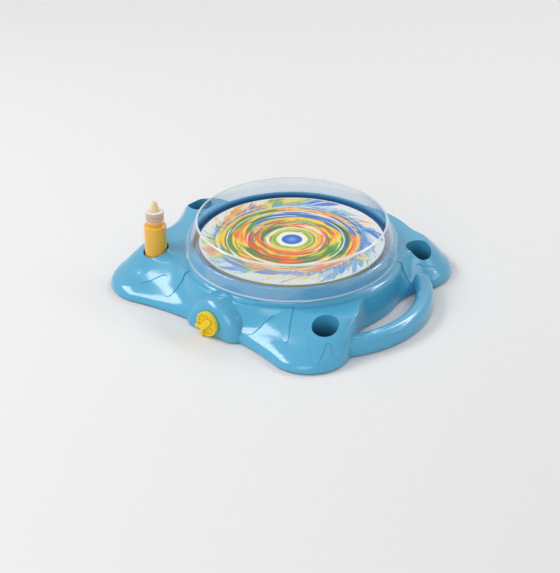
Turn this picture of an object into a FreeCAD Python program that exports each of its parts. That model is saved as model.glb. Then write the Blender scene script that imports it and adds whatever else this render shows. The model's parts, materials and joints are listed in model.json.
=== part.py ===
import FreeCAD, Part
import math
import os
import re
import Sketcher

# Spin art machine: a battery toy that spins a paper disc while paint is dripped on it.
# Millimetres. The origin is on the spindle axis at table height, +Z is up, the knob faces -Y
# and the carry handle is on the +X side.

SIZES = {
    # moulded shell
    "wall": 2.4,
    "rim_height": 1.6,
    "skirt_height": 3.4,
    # outline of the shell on the table: lobes, placed outwards from the radius of the ring, with
    # hollows between them
    "front_lobe_x": -1.6,
    "front_lobe_y": -12.6,
    "front_lobe_radius": 37.0,
    "left_lobe_x": 0.4,
    "left_lobe_y": -9.6,
    "left_lobe_radius": 40.0,
    "seat_margin": 9.4,
    "rear_lobe_x": -30.6,
    "rear_lobe_y": -4.6,
    "rear_lobe_radius": 42.0,
    "rear_centre_x": 8.0,
    "rear_centre_y": 40.0,
    "rear_centre_radius": 3.4,
    "rear_left_x": -30.6,
    "rear_left_y": -6.6,
    "rear_left_radius": 38.0,
    "side_lobe_x": 32.4,
    "side_lobe_y": 17.0,
    "side_lobe_radius": 31.0,
    "front_margin": 18.0,
    "handle_hollow": 60.0,
    "rear_hollow": 30.0,
    "side_hollow": 45.0,
    "left_hollow": 200.0,
    "front_hollow": 240.0,
    # outline at the top of the flanks: a crest for each lobe, placed from the centre of the lobe
    "saddle_margin": 6.6,
    "front_crest_x": 8.0,
    "front_crest_y": -36.0,
    "front_crest_radius": 14.0,
    "left_crest_x": 13.0,
    "left_crest_y": -39.0,
    "left_crest_radius": 14.0,
    "rear_crest_x": -6.0,
    "rear_crest_y": 2.0,
    "rear_crest_radius": 18.0,
    "rear_saddle_x": 6.0,
    "rear_saddle_y": 30.0,
    "rear_saddle_radius": -2.6,
    "rear_left_crest_x": 4.0,
    "rear_left_crest_y": -8.0,
    "rear_left_crest_radius": 14.0,
    "side_crest_x": -7.0,
    "side_crest_y": -1.0,
    "side_crest_radius": 22.0,
    "crest_hollow": 40.0,
    # ring that carries the tray and the splash guard, and the saddle around it
    "ring_outer": 94.6,
    "ring_height": 8.4,
    "ring_flare": 5.6,
    "saddle_drop": 16.8,
    "drip_height": 0.8,
    "tray_room": 1.2,
    "ledge_width": 6.2,
    # wells for the paint bottles, placed from the centres of the lobes
    "well_gap": 1.4,
    "well_wall": 1.8,
    "well_floor": 1.6,
    "well_lift": 0.2,
    "well_front_x": 11.0,
    "well_front_y": -9.0,
    "well_bottle_x": 9.0,
    "well_bottle_y": -12.0,
    "well_rear_x": 14.5,
    "well_rear_y": -1.7,
    "well_left_x": 12.0,
    "well_left_y": 2.5,
    "well_side_x": 7.0,
    "well_side_y": -1.0,
    # arched boss around the knob
    "boss_x": 6.5,
    "boss_reach": 23.4,
    "boss_depth": 34.0,
    "boss_radius": 31.0,
    "boss_spread": 4.0,
    "boss_round": 11.0,
    # carry handle, a round bar on an arc
    "handle_x": 39.4,
    "handle_y": 7.0,
    "handle_reach": 9.4,
    "handle_width": 16.0,
    "handle_top": 16.6,
    "handle_round": 6.0,
    "handle_start": -38.0,
    "handle_end": 54.0,
    # base plate and its fixings
    "plate_bottom": 2.0,
    "plate_thickness": 2.2,
    "plate_gap": 1.2,
    "foot_radius": 7.0,
    "centre_foot": 9.0,
    "post_radius": 3.6,
    "screw_radius": 1.4,
    "screw_head_radius": 2.8,
    "screw_head_height": 1.2,
    "screw_length": 10.0,
    "post_front_x": -28.6,
    "post_front_y": -0.6,
    "post_side_x": 9.4,
    "post_side_y": 34.0,
    "post_side_step": 20.0,
    "post_rear_x": 34.0,
    "post_rear_y": 17.4,
    # battery bay
    "cell_radius": 16.6,
    "cell_length": 61.5,
    "nub_radius": 4.8,
    "nub_height": 1.5,
    "bay_gap": 2.2,
    "cell_gap": 0.5,
    "spring_space": 5.6,
    "spring_wire": 0.5,
    "contact_thickness": 0.4,
    "bay_wall": 1.6,
    "bay_lip": 0.3,
    "door_ledge": 2.0,
    "door_gap": 0.3,
    "door_ear": 12.0,
    # motor
    "motor_radius": 12.0,
    "motor_bottom": 4.6,
    "motor_cap_height": 3.6,
    "motor_height": 25.0,
    "motor_wall": 1.0,
    "motor_boss_radius": 3.0,
    "motor_boss_height": 1.5,
    "shaft_radius": 1.0,
    "shaft_gap": 0.1,
    "armature_radius": 8.0,
    "clamp_reach": 18.0,
    "clamp_thickness": 1.6,
    # tray, turntable and paper
    "tray_floor": 1.6,
    "tray_wall": 1.5,
    "tray_gap": 0.3,
    "tray_rim_drop": 0.8,
    "collar_radius": 5.6,
    "collar_wall": 1.6,
    "collar_height": 2.2,
    "tray_post_reach": 70.0,
    "bush_radius": 4.0,
    "bush_length": 9.0,
    "table_margin": 11.1,
    "table_drop": 2.0,
    "table_thickness": 1.8,
    "table_rim_height": 3.4,
    "table_rim_wall": 2.0,
    "hub_radius": 10.4,
    "hub_wall": 2.2,
    "petal_inner": 24.0,
    "petal_margin": 18.5,
    "petal_inner_radius": 3.2,
    "petal_outer_radius": 9.6,
    "petal_count": 10,
    "paper_overhang": 1.5,
    "paper_thickness": 0.4,
    # splash guard
    "guard_wall": 1.5,
    "guard_gap": 0.4,
    "guard_drop": 12.2,
    "guard_rise": 1.6,
    "guard_height": 19.4,
    "guard_lean": 8.6,
    "guard_lip": 2.0,
    "tab_width": 12.0,
    "tab_height": 11.0,
    "tab_angle": 49.0,
    # knob and switch
    "knob_x": 8.6,
    "knob_z": 13.2,
    "knob_radius": 11.5,
    "knob_disc": 3.0,
    "knob_rim": 1.4,
    "knob_grip_height": 5.4,
    "knob_grip_width": 5.2,
    "knob_overhang": 1.0,
    "knob_gap": 0.5,
    "stem_radius": 3.0,
    "stem_gap": 0.1,
    "clip_thickness": 0.8,
    "clip_width": 2.4,
    "bracket_width": 26.0,
    "bracket_thickness": 3.0,
    "bracket_setback": 14.5,
    "bracket_foot": 10.0,
    "cam_radius": 4.6,
    "cam_lobe": 1.6,
    "cam_length": 4.0,
    "leaf_width": 4.0,
    "leaf_gap": 0.5,
    # paint bottle, standing in the front left well
    "bottle_radius": 10.4,
    "bottle_height": 48.0,
    "bottle_wall": 1.0,
    "bottle_round": 1.6,
    "paint_gap": 0.05,
    "paint_level": 44.0,
    "neck_radius": 6.4,
    "neck_height": 8.6,
    "thread_depth": 0.6,
    "thread_pitch": 2.0,
    "cap_radius": 8.6,
    "cap_wall": 1.1,
    "cap_start": 3.8,
    "cap_height": 10.4,
    "nozzle_height": 14.4,
    "nozzle_radius": 4.4,
    "nozzle_tip": 1.7,
    "nozzle_hole": 0.6,
    # wiring
    "lead_radius": 0.8,
    "lead_gap": 0.1,
    "tab_length": 5.0,
    "tab_depth": 6.0,
}

# sizes that follow from the others: heights stack up on the D cell, reaches start at the ring
DERIVED = {
    "plate_top": "plate_bottom + plate_thickness",
    "cell_y": "motor_radius + stem_gap + 2 * bay_wall + bay_gap + cell_radius + cell_gap",
    "bay_top": "plate_top + 2 * cell_radius + cell_gap + bay_lip",
    "ledge_top": "bay_top + tray_room",
    "ring_top": "ledge_top + ring_height",
    "saddle_top": "ring_top - saddle_drop",
    "tray_rim": "ring_top - tray_rim_drop",
    "table_top": "ring_top - table_drop",
    "guard_bottom": "ring_top - guard_drop",
    "guard_shoulder": "ring_top + guard_rise",
    "guard_top": "ring_top + guard_height",
    "guard_mouth": "ring_outer - guard_lean",
    "table_radius": "ring_outer - table_margin",
    "petal_outer": "table_radius - petal_margin",
    "paper_radius": "table_radius + paper_overhang",
    "handle_outer": "ring_outer + handle_reach",
    "boss_front": "ring_outer + boss_reach",
    "bracket_front": "boss_front - bracket_setback",
    "stem_length": "knob_gap + bracket_setback + bracket_thickness + cam_length",
    "well_radius": "bottle_radius + well_gap",
}

V = FreeCAD.Vector
WORD = re.compile(r"[a-z][a-z_0-9]*")

doc = FreeCAD.newDocument("spin_art_machine")
sheet = doc.addObject("Spreadsheet::Sheet", "Sizes")
NAMES = {alias: str(size) for alias, size in SIZES.items()}
NAMES |= {alias: "=" + formula for alias, formula in DERIVED.items()}
for row, (alias, content) in enumerate(NAMES.items(), start=1):
    sheet.set(f"A{row}", alias)
    sheet.set(f"B{row}", content)
    sheet.setAlias(f"B{row}", alias)
doc.recompute()


# ---------------------------------------------------------------- helpers

def linked(expression):
    """The expression with every size named in the sheet written as a reference to its cell."""
    return WORD.sub(lambda m: "Sizes." + m[0] if m[0] in NAMES else m[0], str(expression))


def number(expression):
    """The value of an expression of sheet sizes."""
    return float(sheet.evalExpression(linked(expression)))


def bind(obj, **properties):
    """Bind properties of an object to expressions; a double underscore stands for a dot."""
    for name, expression in properties.items():
        obj.setExpression(name.replace("__", "."), linked(expression))


def place(obj, x="0", y="0", z="0", axis=V(0, 0, 1), angle=0):
    """Turn an object about an axis through its origin and bind its position to expressions."""
    obj.Placement = FreeCAD.Placement(V(number(x), number(y), number(z)), FreeCAD.Rotation(axis, angle))
    bind(obj, Placement__Base__x=x, Placement__Base__y=y, Placement__Base__z=z)
    return obj


def box(name, length, width, height, x, y, z):
    """A block with one corner at x, y, z."""
    block = doc.addObject("Part::Box", name)
    bind(block, Length=length, Width=width, Height=height)
    return place(block, x, y, z)


def block_about(name, length, width, height, x, y, z):
    """A block centred on x, y that stands on z."""
    return box(name, length, width, height, f"({x}) - ({length})/2", f"({y}) - ({width})/2", z)


def cylinder(name, radius, height, x="0", y="0", z="0", axis=V(0, 0, 1), angle=0):
    """A cylinder that stands on x, y, z, turned about axis by angle."""
    rod = doc.addObject("Part::Cylinder", name)
    bind(rod, Radius=radius, Height=height)
    return place(rod, x, y, z, axis, angle)


def fuse(name, shapes):
    """The union of several objects."""
    union = doc.addObject("Part::MultiFuse", name)
    union.Shapes = shapes
    return union


def common(name, shapes):
    """The part that several objects share."""
    shared = doc.addObject("Part::MultiCommon", name)
    shared.Shapes = shapes
    return shared


def cut(name, base, tools):
    """The base without each of the tools in turn."""
    for index, tool in enumerate(tools, start=1):
        result = doc.addObject("Part::Cut", name if index == len(tools) else f"{name}_cut_{index}")
        result.Base = base
        result.Tool = tool
        base = result
    return base


def origin_plane(body, role):
    """One of a body's own origin planes."""
    return next(item for item in body.Origin.OriginFeatures if item.Role == role)


def new_sketch(body, name, role, height="0"):
    """A sketch on a plane of its body, at a height along the plane's normal."""
    sketch = body.newObject("Sketcher::SketchObject", name)
    sketch.AttachmentSupport = [(origin_plane(body, role), "")]
    sketch.MapMode = "FlatFace"
    bind(sketch, AttachmentOffset__Base__z=height)
    return sketch


def pin(sketch, kind, geometry, vertex, expression):
    """Hold one coordinate of a point at an expression."""
    index = sketch.addConstraint(
        Sketcher.Constraint(kind, -1, 1, geometry, vertex, number(expression)))
    sketch.setExpression(f"Constraints[{index}]", linked(expression))


def hold_radius(sketch, geometry, expression):
    """Hold the radius of an arc at an expression."""
    index = sketch.addConstraint(Sketcher.Constraint("Radius", geometry, number(expression)))
    sketch.setExpression(f"Constraints[{index}]", linked(expression))


def arc_about(centre, radius, start, end):
    """The counter-clockwise arc between the directions of two points seen from its centre."""
    first = math.atan2(start.y - centre.y, start.x - centre.x)
    last = math.atan2(end.y - centre.y, end.x - centre.x)
    if last < first:
        last += 2 * math.pi
    return Part.ArcOfCircle(Part.Circle(centre, V(0, 0, 1), radius), first, last)


def arc_between(start, end, radius):
    """The short arc from start to end; it turns left for a positive radius, right for a negative one.

    Returns the arc and whether it is drawn backwards, because sketch arcs run counter-clockwise."""
    chord = end - start
    side = V(-chord.y, chord.x, 0) / chord.Length
    rise = math.sqrt(max(radius * radius - chord.Length ** 2 / 4, 0))
    centre = (start + end) / 2 + side * (rise if radius > 0 else -rise)
    if radius > 0:
        return arc_about(centre, radius, start, end), False
    return arc_about(centre, -radius, end, start), True


def draw(sketch, steps):
    """A closed outline. A step is (x, y) after a straight side or (x, y, radius) after a round one."""
    points = [V(number(step[0]), number(step[1]), 0) for step in steps]
    ends = []
    for index, step in enumerate(steps):
        start, end = points[index - 1], points[index]
        if len(step) == 3:
            arc, backwards = arc_between(start, end, number(step[2]))
            geometry = sketch.addGeometry(arc, False)
            hold_radius(sketch, geometry, f"abs({step[2]})")
            ends.append((geometry, 2, 1) if backwards else (geometry, 1, 2))
        else:
            geometry = sketch.addGeometry(Part.LineSegment(start, end), False)
            ends.append((geometry, 1, 2))
    for index, (geometry, first, last) in enumerate(ends):
        following = ends[(index + 1) % len(ends)]
        sketch.addConstraint(
            Sketcher.Constraint("Coincident", geometry, last, following[0], following[1]))
        pin(sketch, "DistanceX", geometry, last, steps[index][0])
        pin(sketch, "DistanceY", geometry, last, steps[index][1])


def revolved(name, steps, angle="360"):
    """A body turned about Z from a half profile of (radius, height) steps."""
    body = doc.addObject("PartDesign::Body", name)
    sketch = new_sketch(body, name + "_profile", "XZ_Plane")
    draw(sketch, steps)
    turned = body.newObject("PartDesign::Revolution", name + "_turned")
    turned.Profile = sketch
    turned.ReferenceAxis = (sketch, ["V_Axis"])
    bind(turned, Angle=angle)
    return body


def padded(name, steps, height, base="0"):
    """A body drawn in plan and raised from base by height."""
    body = doc.addObject("PartDesign::Body", name)
    sketch = new_sketch(body, name + "_plan", "XY_Plane", base)
    draw(sketch, steps)
    pad = body.newObject("PartDesign::Pad", name + "_pad")
    pad.Profile = sketch
    bind(pad, Length=height)
    return body


# ---------------------------------------------------------------- shell outline

SEAT = "(ring_outer + seat_margin)"
SADDLE = "(ring_outer + saddle_margin)"

# the centre of each lobe on the table
LOBES = {
    "front": ("ring_outer + front_lobe_x", "-ring_outer - front_lobe_y"),
    "rear": ("ring_outer + rear_lobe_x", "ring_outer + rear_lobe_y"),
    "rear_left": ("-ring_outer - rear_left_x", "ring_outer + rear_left_y"),
    "side": ("-ring_outer - side_lobe_x", "side_lobe_y"),
    "left": ("-ring_outer - left_lobe_x", "-ring_outer - left_lobe_y"),
}


def beside(lobe, name):
    """A place measured outwards from the centre of a lobe by the sizes with that name."""
    x, y = LOBES[lobe]
    return (f"{x} {'-' if x.startswith('-') else '+'} {name}_x",
            f"{y} {'-' if y.startswith('-') else '+'} {name}_y")


# each convex round on the table and at the crest, then the hollow that leads to the next round
ROUNDS = [
    ((*LOBES["front"], "front_lobe_radius"),
     (*beside("front", "front_crest"), "front_crest_radius"), "handle_hollow"),
    (("0", "0", SEAT), ("0", "0", SADDLE), "handle_hollow"),
    ((*LOBES["rear"], "rear_lobe_radius"),
     (*beside("rear", "rear_crest"), "rear_crest_radius"), "rear_hollow"),
    (("rear_centre_x", "rear_centre_y", "ring_outer + rear_centre_radius"),
     ("rear_saddle_x", "rear_saddle_y", "ring_outer + rear_saddle_radius"), "rear_hollow"),
    ((*LOBES["rear_left"], "rear_left_radius"),
     (*beside("rear_left", "rear_left_crest"), "rear_left_crest_radius"), "side_hollow"),
    ((*LOBES["side"], "side_lobe_radius"),
     (*beside("side", "side_crest"), "side_crest_radius"), "left_hollow"),
    ((*LOBES["left"], "left_lobe_radius"),
     (*beside("left", "left_crest"), "left_crest_radius"), "front_hollow"),
    (("0", "0", "(ring_outer + front_margin)"), ("0", "0", SADDLE), "front_hollow"),
]

# the flanks from skirt to crest: share of the height, share of the way in to the crest's outline
FLANK = [(0.0, 0.008), (0.1, 0.04), (0.27, 0.17), (0.5, 0.385), (0.73, 0.6), (0.9, 0.78),
         (0.973, 0.89), (1.0, 1.0)]


def hollow_centre(first, first_radius, second, second_radius, hollow):
    """Centre of the arc outside two rounds that touches both."""
    reach, other = first_radius + hollow, second_radius + hollow
    line = second - first
    along = (reach ** 2 - other ** 2 + line.Length ** 2) / (2 * line.Length)
    across = math.sqrt(reach ** 2 - along ** 2)
    unit = line / line.Length
    return first + unit * along + V(unit.y, -unit.x, 0) * across


def between(low, high, share):
    """An expression that lies a share of the way from one expression to another."""
    return f"(({low}) + (({high}) - ({low})) * {share})"


def draw_outline(sketch, inset, share=0):
    """The outline of the shell, moved inwards by inset: rounds and hollows in a tangent chain.

    The share is 0 for the outline on the table and 1 for the one at the crest of the flanks."""
    rounds = []
    for low, high, hollow in ROUNDS:
        x, y, radius = (between(one, other, share) for one, other in zip(low, high))
        rounds.append((x, y, f"{radius} - ({inset})",
                       f"{between(hollow, 'crest_hollow', share)} + {inset}"))
    centres = [V(number(x), number(y), 0) for x, y, _, _ in rounds]
    radii = [number(radius) for _, _, radius, _ in rounds]
    hollows = [number(hollow) for _, _, _, hollow in rounds]
    count = len(rounds)
    joints = []
    for index in range(count):
        following = (index + 1) % count
        joints.append(hollow_centre(centres[index], radii[index], centres[following],
                                    radii[following], hollows[index]))
    for index in range(count):
        following = (index + 1) % count
        sketch.addGeometry(
            arc_about(centres[index], radii[index], joints[index - 1], joints[index]), False)
        sketch.addGeometry(
            arc_about(joints[index], hollows[index], centres[following], centres[index]), False)
    for index, (x, y, radius, hollow) in enumerate(rounds):
        bump, dip, following = 2 * index, 2 * index + 1, (2 * index + 2) % (2 * count)
        sketch.addConstraint(Sketcher.Constraint("Tangent", bump, 2, dip, 2))
        sketch.addConstraint(Sketcher.Constraint("Tangent", dip, 1, following, 1))
        pin(sketch, "DistanceX", bump, 3, x)
        pin(sketch, "DistanceY", bump, 3, y)
        hold_radius(sketch, bump, radius)
        hold_radius(sketch, dip, hollow)


def flank(name, inset):
    """The body of the shell below the ring, lofted from its skirt up the flanks to the saddle.

    The inset moves it inwards, and down by as much at the saddle."""
    body = doc.addObject("PartDesign::Body", name)
    rise = f"(saddle_top - ({inset}) - rim_height - skirt_height)"
    levels = [("rim_height", 0)]
    levels += [(f"rim_height + skirt_height + {rise} * {height}", share) for height, share in FLANK]
    sketches = []
    for index, (height, share) in enumerate(levels):
        section = new_sketch(body, f"{name}_{index}", "XY_Plane", height)
        draw_outline(section, inset, share)
        sketches.append(section)
    loft = body.newObject("PartDesign::AdditiveLoft", name + "_loft")
    loft.Profile = sketches[0]
    loft.Sections = sketches[1:]
    doc.recompute()
    return body


FLARE_X = "(ring_outer + ring_flare)"
FLARE_Z = "(saddle_top + ring_flare)"


def ring_steps():
    """The ring above the saddle, with the flare at its foot, as a half profile."""
    return [
        ("0", "saddle_top - wall"),
        (FLARE_X, "saddle_top - wall"),
        (FLARE_X, "saddle_top"),
        ("ring_outer", FLARE_Z, "-ring_flare"),
        ("ring_outer", "ring_top"),
        ("0", "ring_top"),
    ]


def flare_pocket_steps():
    """The room under the ring: below the tray's ledge and behind the flare, one wall inside them."""
    flare = "(ring_flare + wall)"
    ledge = "(ledge_top - wall)"
    reach = f"({SEAT} - 3 * wall)"
    inside = "ring_outer - wall - 2 * ledge_width"
    shoulder = f"{FLARE_X} - sqrt({flare} ^ 2 - ({FLARE_Z} - {ledge}) ^ 2)"
    return [
        (inside, ledge),
        (inside, "saddle_top - 4 * wall"),
        (reach, "saddle_top - 4 * wall"),
        (reach, f"{FLARE_Z} - sqrt({flare} ^ 2 - ({FLARE_X} - {reach}) ^ 2)"),
        (shoulder, ledge, f"-{flare}"),
    ]


# ---------------------------------------------------------------- top housing

WELLS = [
    beside("front", "well_front"),
    beside("left", "well_bottle"),
    beside("rear", "well_rear"),
    beside("rear_left", "well_left"),
    beside("side", "well_side"),
]
POSTS = [
    ("ring_outer + post_front_x", "-ring_outer - post_front_y"),
    ("-ring_outer - post_front_x", "-ring_outer - post_front_y"),
    ("post_rear_x", "ring_outer + post_rear_y"),
    ("-post_rear_x", "ring_outer + post_rear_y"),
    ("-ring_outer - post_side_x", "-post_side_y"),
    ("-ring_outer - post_side_x", "post_side_y + post_side_step"),
]

# raised runs of paint on the flanks: a point to start from, then the outline seen from it
RING_FRONT = ("0", "-ring_outer")
DRIPS = [
    (WELLS[0], [(-16, 1, 16), (-2, -18, 20), (8, -28), (17, -28.5, 5), (12.5, -14.5), (15.5, -9.5, -3.2),
                (19.5, -12.5), (24.5, -9, 3.4), (18.5, 9), (0, 18, 14)]),
    (RING_FRONT, [(38, 4.6), (44, -10.4), (49, -11.4, 2.6), (56, 3.1), (62, 6.1, -5), (79, -5.9),
                  (84.5, -5.4, 3.2), (72, 12.6), (66, 24.6)]),
    (RING_FRONT, [(-72, 32.6), (-92, -9.4), (-86.5, -14.9, 4.2), (-76, -2.4), (-66, -0.4, -7), (-57.5, -13.4),
                  (-51.5, -12.4, 3.3), (-46, 10.6)]),
    (WELLS[2], [(-0.5, -38.3), (13.5, -32.3), (16, -24.8, 4.2), (10, -16.3), (13, -9.3, -5), (17.5, -0.3),
                (12.5, 7.2, 4.8), (-8.5, 19.7), (-16.5, 15.7, 6), (-26.5, -8.3)]),
]


def drips():
    """Runs of paint that stand proud of the flanks by the height of a drip."""
    runs = []
    for index, ((x, y), steps) in enumerate(DRIPS):
        outline = [(f"{x} + {step[0]}", f"{y} + {step[1]}", *step[2:]) for step in steps]
        runs.append(padded(f"drip_{index}", outline, "ring_top", "rim_height + skirt_height / 2"))
    return common("drips", [flank("drip_skin", "-drip_height"), fuse("drip_runs", runs)])


def knob_boss(name, inset):
    """The arch around the knob: a half round nose with a rounded front that widens to the ring."""
    cone = doc.addObject("Part::Cone", name + "_cone")
    bind(cone, Radius1=f"boss_radius - ({inset})", Radius2=f"boss_radius + boss_spread - ({inset})",
         Height="boss_depth")
    place(cone, "boss_x", f"{inset} - boss_front", "0", V(1, 0, 0), -90)
    doc.recompute()
    edges = cone.Shape.Edges
    front = min(range(len(edges)), key=lambda index: edges[index].CenterOfMass.y)
    radius = number(f"boss_round - ({inset})")
    nose = doc.addObject("Part::Fillet", name)
    nose.Base = cone
    nose.Edges = [(front + 1, radius, radius)]
    return nose


def handle_bar(name, inset):
    """The bar of the carry handle: a round topped section turned about a point inside the body."""
    inner = f"handle_outer - handle_width + {inset}"
    outer = f"handle_outer - ({inset})"
    top = f"handle_top - ({inset})"
    bend = f"(handle_round - ({inset}))"
    bar = revolved(name, [
        (inner, "rim_height"),
        (outer, "rim_height"),
        (outer, f"{top} - {bend}"),
        (f"{outer} - {bend}", top, bend),
        (f"{inner} + {bend}", top),
        (inner, f"{top} - {bend}", bend),
    ], "handle_end - handle_start")
    place(bar, "handle_x", "-handle_y", "0", V(0, 0, 1), number("handle_start"))
    return bar


def top_housing():
    """The turquoise shell: ring, saddle, lobes with bottle wells, knob boss and handle."""
    outer = fuse("shell_outside", [flank("outer_flank", "0"), revolved("ring", ring_steps()), drips()])
    inner = flank("inner_flank", "wall")
    pocket = revolved("flare_pocket", flare_pocket_steps())
    under = block_about("below_rim", "boss_radius * 3", "boss_radius * 3", "boss_radius * 3",
                        "boss_x", "-boss_front", "rim_height - boss_radius * 3")
    boss = cut("boss_above_rim", knob_boss("boss_outside", "0"), [under])
    solid = fuse("housing_solid", [outer, boss, handle_bar("handle_outside", "0")])
    hollow = cut("housing_shell", solid, [
        inner,
        pocket,
        knob_boss("boss_inside", "wall"),
        handle_bar("handle_inside", "wall"),
    ])
    tubes = []
    for index, (x, y) in enumerate(WELLS):
        tubes.append(cylinder(f"well_tube_{index}", "well_radius + well_wall", "ring_top",
                              x, y, "plate_top + well_lift"))
    for index, (x, y) in enumerate(POSTS):
        tubes.append(cylinder(f"post_{index}", "post_radius", "ring_top", x, y, "plate_top"))
    inside = common("housing_tubes", [fuse("tubes", tubes), outer])
    bores = [
        cylinder("ring_bore", "ring_outer - wall", "ring_top", z="ledge_top"),
        cylinder("ledge_bore", "ring_outer - wall - ledge_width", "ring_top", z="plate_top"),
        cylinder("stem_hole", "stem_radius + stem_gap", "wall * 3", "knob_x",
                 "wall - boss_front", "knob_z", V(1, 0, 0), 90),
    ]
    for index, (x, y) in enumerate(WELLS):
        bores.append(cylinder(f"well_bore_{index}", "well_radius", "ring_top", x, y,
                              "plate_top + well_lift + well_floor"))
    for index, (x, y) in enumerate(POSTS):
        bores.append(cylinder(f"post_bore_{index}", "screw_radius", "screw_length", x, y, "plate_top"))
    return cut("top_housing", fuse("housing_with_tubes", [hollow, inside]), bores)


# ---------------------------------------------------------------- base plate and battery

BAY_LENGTH = "(cell_length + spring_space + 2 * contact_thickness + cell_gap)"
BAY_WIDTH = "(2 * cell_radius + 2 * cell_gap)"
BAY_FRONT = f"(cell_y - {BAY_WIDTH} / 2)"
CELL_Z = "(plate_top + cell_gap + cell_radius)"
DOOR_LENGTH = f"({BAY_LENGTH} + 2 * door_ledge)"
DOOR_WIDTH = f"({BAY_WIDTH} + 2 * door_ledge)"
EAR_X = f"({DOOR_LENGTH} / 2 + door_ear / 2)"
MOTOR_TOP = "(motor_bottom + motor_cap_height + motor_height)"
TERMINAL_REACH = "(motor_radius + bay_wall * 2.5)"
TRAY_POSTS = [
    ("0", "tray_post_reach"),
    ("-tray_post_reach * cos(30)", "-tray_post_reach / 2"),
    ("tray_post_reach * cos(30)", "-tray_post_reach / 2"),
]
TAB_Z = f"({CELL_Z} + tab_depth / 2)"


def base_plate():
    """The floor of the toy: battery bay, motor cradle, screw holes and the strip under the handle."""
    plate = doc.addObject("PartDesign::Body", "plate_blank")
    plan = new_sketch(plate, "plate_outline", "XY_Plane", "plate_bottom")
    draw_outline(plan, "wall + plate_gap")
    pad = plate.newObject("PartDesign::Pad", "plate_pad")
    pad.Profile = plan
    bind(pad, Length="plate_thickness")
    inner = "handle_outer - handle_width + wall + stem_gap * 4"
    outer = "handle_outer - wall - stem_gap * 4"
    strip = revolved("handle_strip", [
        (inner, "plate_bottom"),
        (outer, "plate_bottom"),
        (outer, "plate_top"),
        (inner, "plate_top"),
    ], "handle_end - handle_start")
    place(strip, "handle_x", "-handle_y", "0", V(0, 0, 1), number("handle_start"))
    bay_height = "bay_top - plate_top"
    added = [
        plate,
        strip,
        block_about("bay_frame", f"{DOOR_LENGTH} + 2 * bay_wall", f"{DOOR_WIDTH} + 2 * bay_wall",
                    "2 * plate_thickness", "0", "cell_y", "plate_bottom"),
        block_about("bay_walls", f"{BAY_LENGTH} + 2 * bay_wall", f"{BAY_WIDTH} + 2 * bay_wall",
                    bay_height, "0", "cell_y", "plate_top"),
        cylinder("motor_cradle", "motor_radius + bay_wall + stem_gap", "motor_cap_height * 2",
                 z="plate_top"),
        block_about("ear_frame", "door_ear + 2 * bay_wall", "door_ear + 2 * door_gap + 2 * bay_wall",
                    "2 * plate_thickness", EAR_X, "cell_y", "plate_bottom"),
        cylinder("ear_boss", "post_radius", "screw_length", EAR_X, "cell_y", "plate_top"),
        cylinder("centre_foot_pad", "centre_foot", "plate_bottom + plate_thickness / 2"),
        common("boss_floor", [
            knob_boss("boss_floor_nose", "wall + plate_gap"),
            block_about("boss_floor_slab", "2 * boss_radius", "boss_depth", "plate_thickness",
                        "boss_x", "boss_depth / 2 - boss_front", "plate_bottom"),
        ]),
    ]
    for side in (-1, 1):
        added.append(cylinder(f"clamp_post_{side + 1}", "post_radius", f"{MOTOR_TOP} - plate_top",
                              f"{side} * clamp_reach", "0", "plate_top"))
    removed = [
        block_about("door_recess", f"{DOOR_LENGTH} + 2 * door_gap", f"{DOOR_WIDTH} + 2 * door_gap",
                    "2 * plate_thickness", "0", "cell_y", "plate_top - 2 * plate_thickness"),
        block_about("ear_recess", "door_ear + 2 * door_gap", "door_ear + 2 * door_gap",
                    "2 * plate_thickness", EAR_X, "cell_y", "plate_top - 2 * plate_thickness"),
        block_about("bay_room", BAY_LENGTH, BAY_WIDTH, "bay_top", "0", "cell_y", "plate_bottom"),
        cylinder("motor_seat", "motor_radius + stem_gap", "motor_height", z="plate_top"),
        cylinder("ear_bore", "screw_radius", "screw_length + screw_head_height", EAR_X, "cell_y",
                 "plate_bottom"),
    ]
    for side in (-1, 1):
        removed.append(cylinder(f"clamp_bore_{side + 1}", "screw_radius", "screw_length",
                                f"{side} * clamp_reach", "0", f"{MOTOR_TOP} - screw_length"))
        removed.append(block_about(f"tab_slot_{side + 1}", "contact_thickness * 2", "bay_wall * 4",
                                   "tab_depth + 2 * cell_gap",
                                   f"{side} * ({BAY_LENGTH} / 2 - contact_thickness)", BAY_FRONT,
                                   f"{TAB_Z} - cell_gap"))
        removed.append(block_about(f"terminal_slot_{side + 1}", "motor_wall * 4", "bay_wall * 4",
                                   "motor_cap_height * 2", f"{side} * motor_radius / 2",
                                   "-motor_radius", "plate_top"))
    for index, (x, y) in enumerate(POSTS + TRAY_POSTS):
        removed.append(cylinder(f"plate_hole_{index}", "screw_radius + stem_gap",
                                "2 * plate_thickness", x, y, "plate_bottom - plate_thickness"))
        removed.append(cylinder(f"plate_sink_{index}", "screw_head_radius + stem_gap",
                                "2 * screw_head_height", x, y, "plate_bottom - screw_head_height"))
    return cut("base_plate", fuse("plate_solid", added), [fuse("plate_voids", removed)])


def battery_door():
    """The lid over the battery, with an ear for its screw."""
    lid = block_about("door_plate", DOOR_LENGTH, DOOR_WIDTH, "plate_thickness - door_gap / 3",
                      "0", "cell_y", "plate_bottom")
    ear = block_about("door_ear_plate", "door_ear + 2 * door_gap", "door_ear",
                      "plate_thickness - door_gap / 3", f"{EAR_X} - door_gap", "cell_y", "plate_bottom")
    hole = cylinder("door_hole", "screw_radius + stem_gap", "screw_length", EAR_X, "cell_y", "0")
    sink = cylinder("door_sink", "screw_head_radius + stem_gap", "2 * screw_head_height",
                    EAR_X, "cell_y", "plate_bottom - screw_head_height")
    return cut("battery_door", fuse("door_blank", [lid, ear]), [hole, sink])


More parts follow.
